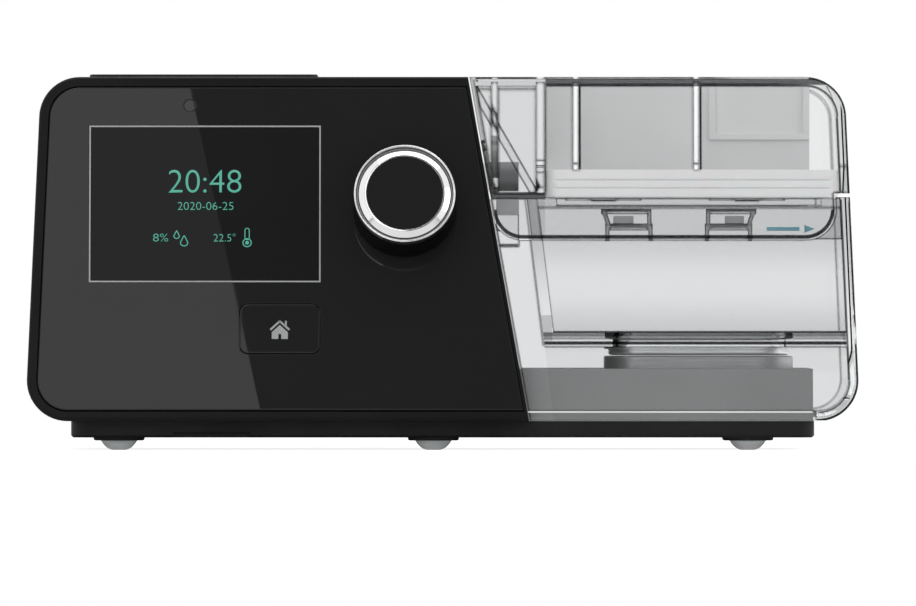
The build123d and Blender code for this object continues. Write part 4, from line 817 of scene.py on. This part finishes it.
def flange_highlight_strip():
    """A painted highlight: a fine pale strip along the top of the flange at the foot of the tank's front
    wall.
    """
    left, right = FLANGE_X
    bm = bmesh.new()
    corners = [(left, -HIGHLIGHT_HALF), (right, -HIGHLIGHT_HALF), (right, HIGHLIGHT_HALF), (left + HIGHLIGHT_LEAN, HIGHLIGHT_HALF)]
    bm.faces.new([bm.verts.new((x, y, 0.0)) for x, y in corners])
    print_on("flange_highlight_strip", bm, 0.0, FLANGE_TOP, 0.0, FLANGE_HIGHLIGHT_WHITE, "chamber")


screen_marks()
home_pictogram()
rib_highlight_strips()
flange_highlight_strip()


# ---- floor, studio light and camera, in metres ---------------------------------------------
CAMERA_PLACE = Vector((0.0049, -8.199, 0.0469))
FLOOR_REACH = 9.0
FLOOR_DROP = 0.00002        # just under the feet
RUN_OUT = (0.25, 0.9)       # from the middle, where the floor fades to white
SHADOW_LIFT = 0.85          # light of the floor's own, so that the shadow on it stays pale
LAMP_GAIN = 4               # watts for each square metre of lamp


def studio_floor():
    """A pale floor that keeps the shadow near the object and runs out to white."""
    bm = bmesh.new()
    bmesh.ops.create_grid(bm, x_segments=8, y_segments=8, size=FLOOR_REACH)
    bmesh.ops.translate(bm, verts=bm.verts, vec=(0, 0, -FLOOR_DROP))
    floor = put_in_scene("studio_floor", finished_mesh("studio_floor", bm))
    material, tree, shader = new_finish("floor_white", Roughness=0.8, Specular_IOR_Level=0.1)
    colour = effect(tree, TONE, Scale=3.0, Shade=(0.86, 0.86, 0.86), Deep=(0.84, 0.84, 0.84))["Colour"]
    feed(tree, shader.inputs["Base Color"], colour)
    path = tree.nodes.new("ShaderNodeLightPath").outputs
    seen = math_node(tree, "ADD", path["Is Camera Ray"], path["Is Transmission Ray"])
    seen = math_node(tree, "MINIMUM", seen, 1.0)
    lift = add_node(tree, "ShaderNodeEmission", Color=WHITE, Strength=product(tree, seen, SHADOW_LIFT))
    lifted = tree.nodes.new("ShaderNodeAddShader")
    feed(tree, lifted.inputs[0], shader.outputs[0])
    feed(tree, lifted.inputs[1], lift.outputs[0])
    glow = add_node(tree, "ShaderNodeEmission", Color=WHITE)
    away = vector_node(tree, "LENGTH", object_place(tree))["Value"]
    faded = product(tree, seen, stretch(tree, away, *RUN_OUT))
    white = tree.nodes.new("ShaderNodeMixShader")
    for socket, value in zip(white.inputs, (faded, lifted.outputs[0], glow.outputs[0])):
        feed(tree, socket, value)
    feed(tree, tree.nodes["Material Output"].inputs["Surface"], white.outputs[0])
    dress(floor, material)


def studio_world():
    """White all round, with a grey patch for gloss where the dark front of the studio is mirrored."""
    world = bpy.data.worlds.new("studio")
    world.use_nodes = True
    scene.world = world
    tree = world.node_tree
    towards = tree.nodes.new("ShaderNodeTexCoord").outputs["Generated"]
    mirrored_view = (0, -cos(2 * FACE_LEAN), sin(2 * FACE_LEAN))
    near = vector_node(tree, "DOT_PRODUCT", towards, mirrored_view)["Value"]
    pale, dark, dim = (0.95, 0.95, 0.95), (0.10, 0.10, 0.10), (0.30, 0.30, 0.30)
    studio = blend_colours(tree, stretch(tree, near, 0.70, 0.90), pale, dark)
    height = add_node(tree, "ShaderNodeSeparateXYZ", Vector=towards).outputs["Z"]
    backdrop = blend_colours(tree, stretch(tree, height, 0.25, 0.75), pale, dim)
    path = tree.nodes.new("ShaderNodeLightPath").outputs
    colour = blend_colours(tree, path["Is Glossy Ray"], (0.5, 0.5, 0.5), studio)
    colour = blend_colours(tree, path["Is Transmission Ray"], colour, backdrop)
    colour = blend_colours(tree, path["Is Camera Ray"], colour, WHITE)
    feed(tree, tree.nodes["Background"].inputs["Color"], colour)


def soft_lamp(name, place, aim, up, width, height, radiance):
    """A soft box: its middle, what it faces, which way its height runs, and how bright it looks."""
    lamp = bpy.data.lights.new(name, "AREA")
    lamp.shape = "RECTANGLE"
    lamp.size, lamp.size_y = width, height
    lamp.energy = radiance * width * height * LAMP_GAIN
    holder = put_in_scene(name, lamp)
    back = (place - aim).normalized()
    across = up.cross(back).normalized()
    along = back.cross(across)
    holder.matrix_world = Matrix.Translation(place) @ Matrix((across, along, back)).transposed().to_4x4()
    holder.visible_camera = False


def mirrored(x, z, distance):
    """Where the camera's line of sight lands after the glossy front face mirrors it."""
    spot = on_face(x, z).translation
    sight = (spot - CAMERA_PLACE).normalized()
    return spot + distance * (sight - 2 * sight.dot(FACE_NORMAL) * FACE_NORMAL)


def studio_lights():
    """Soft boxes. The key box's right edge stands where the panel mirrors it as a slanting line."""
    high, low = mirrored(-80.8, 116.1, 1.5), mirrored(-57.9, 12.1, 1.5)
    edge = (high - low).normalized()
    middle = (high + low) / 2
    away = (middle - Vector((-0.06, -0.08, 0.06))).normalized()
    away = (away - away.dot(edge) * edge).normalized()
    across = edge.cross(away)
    if across.x > 0:
        across = -across
    key_width = 0.8
    place = middle + across * key_width / 2
    soft_lamp("key_box", place, place - away, edge, key_width, 1.3, 1.1)
    above, foot = Vector((0, 0, 1)), Vector((0, 0, 0.05))
    soft_lamp("top_box", Vector((0.1, 0.0, 1.5)), Vector((0, 0, 0)), Vector((0, 1, 0)), 1.6, 1.3, 1.0)
    soft_lamp("right_fill", Vector((1.7, -0.9, 0.7)), foot, above, 1.0, 1.0, 0.9)
    soft_lamp("rear_fill", Vector((-0.6, 1.8, 0.9)), foot, above, 1.3, 0.9, 0.8)


def set_camera():
    """A long lens from far off, level with the front."""
    lens = bpy.data.cameras.new("front_view")
    lens.lens = 1000
    lens.sensor_width = 36
    lens.clip_start, lens.clip_end = 0.05, 60
    camera = put_in_scene("front_view", lens)
    camera.location = CAMERA_PLACE
    camera.rotation_euler = (pi / 2, 0, 0)
    scene.camera = camera


studio_floor()
studio_world()
studio_lights()
set_camera()
scene.view_settings.view_transform = "Standard"
scene.cycles.max_bounces = 24
scene.cycles.transmission_bounces = 24
scene.cycles.transparent_max_bounces = 24
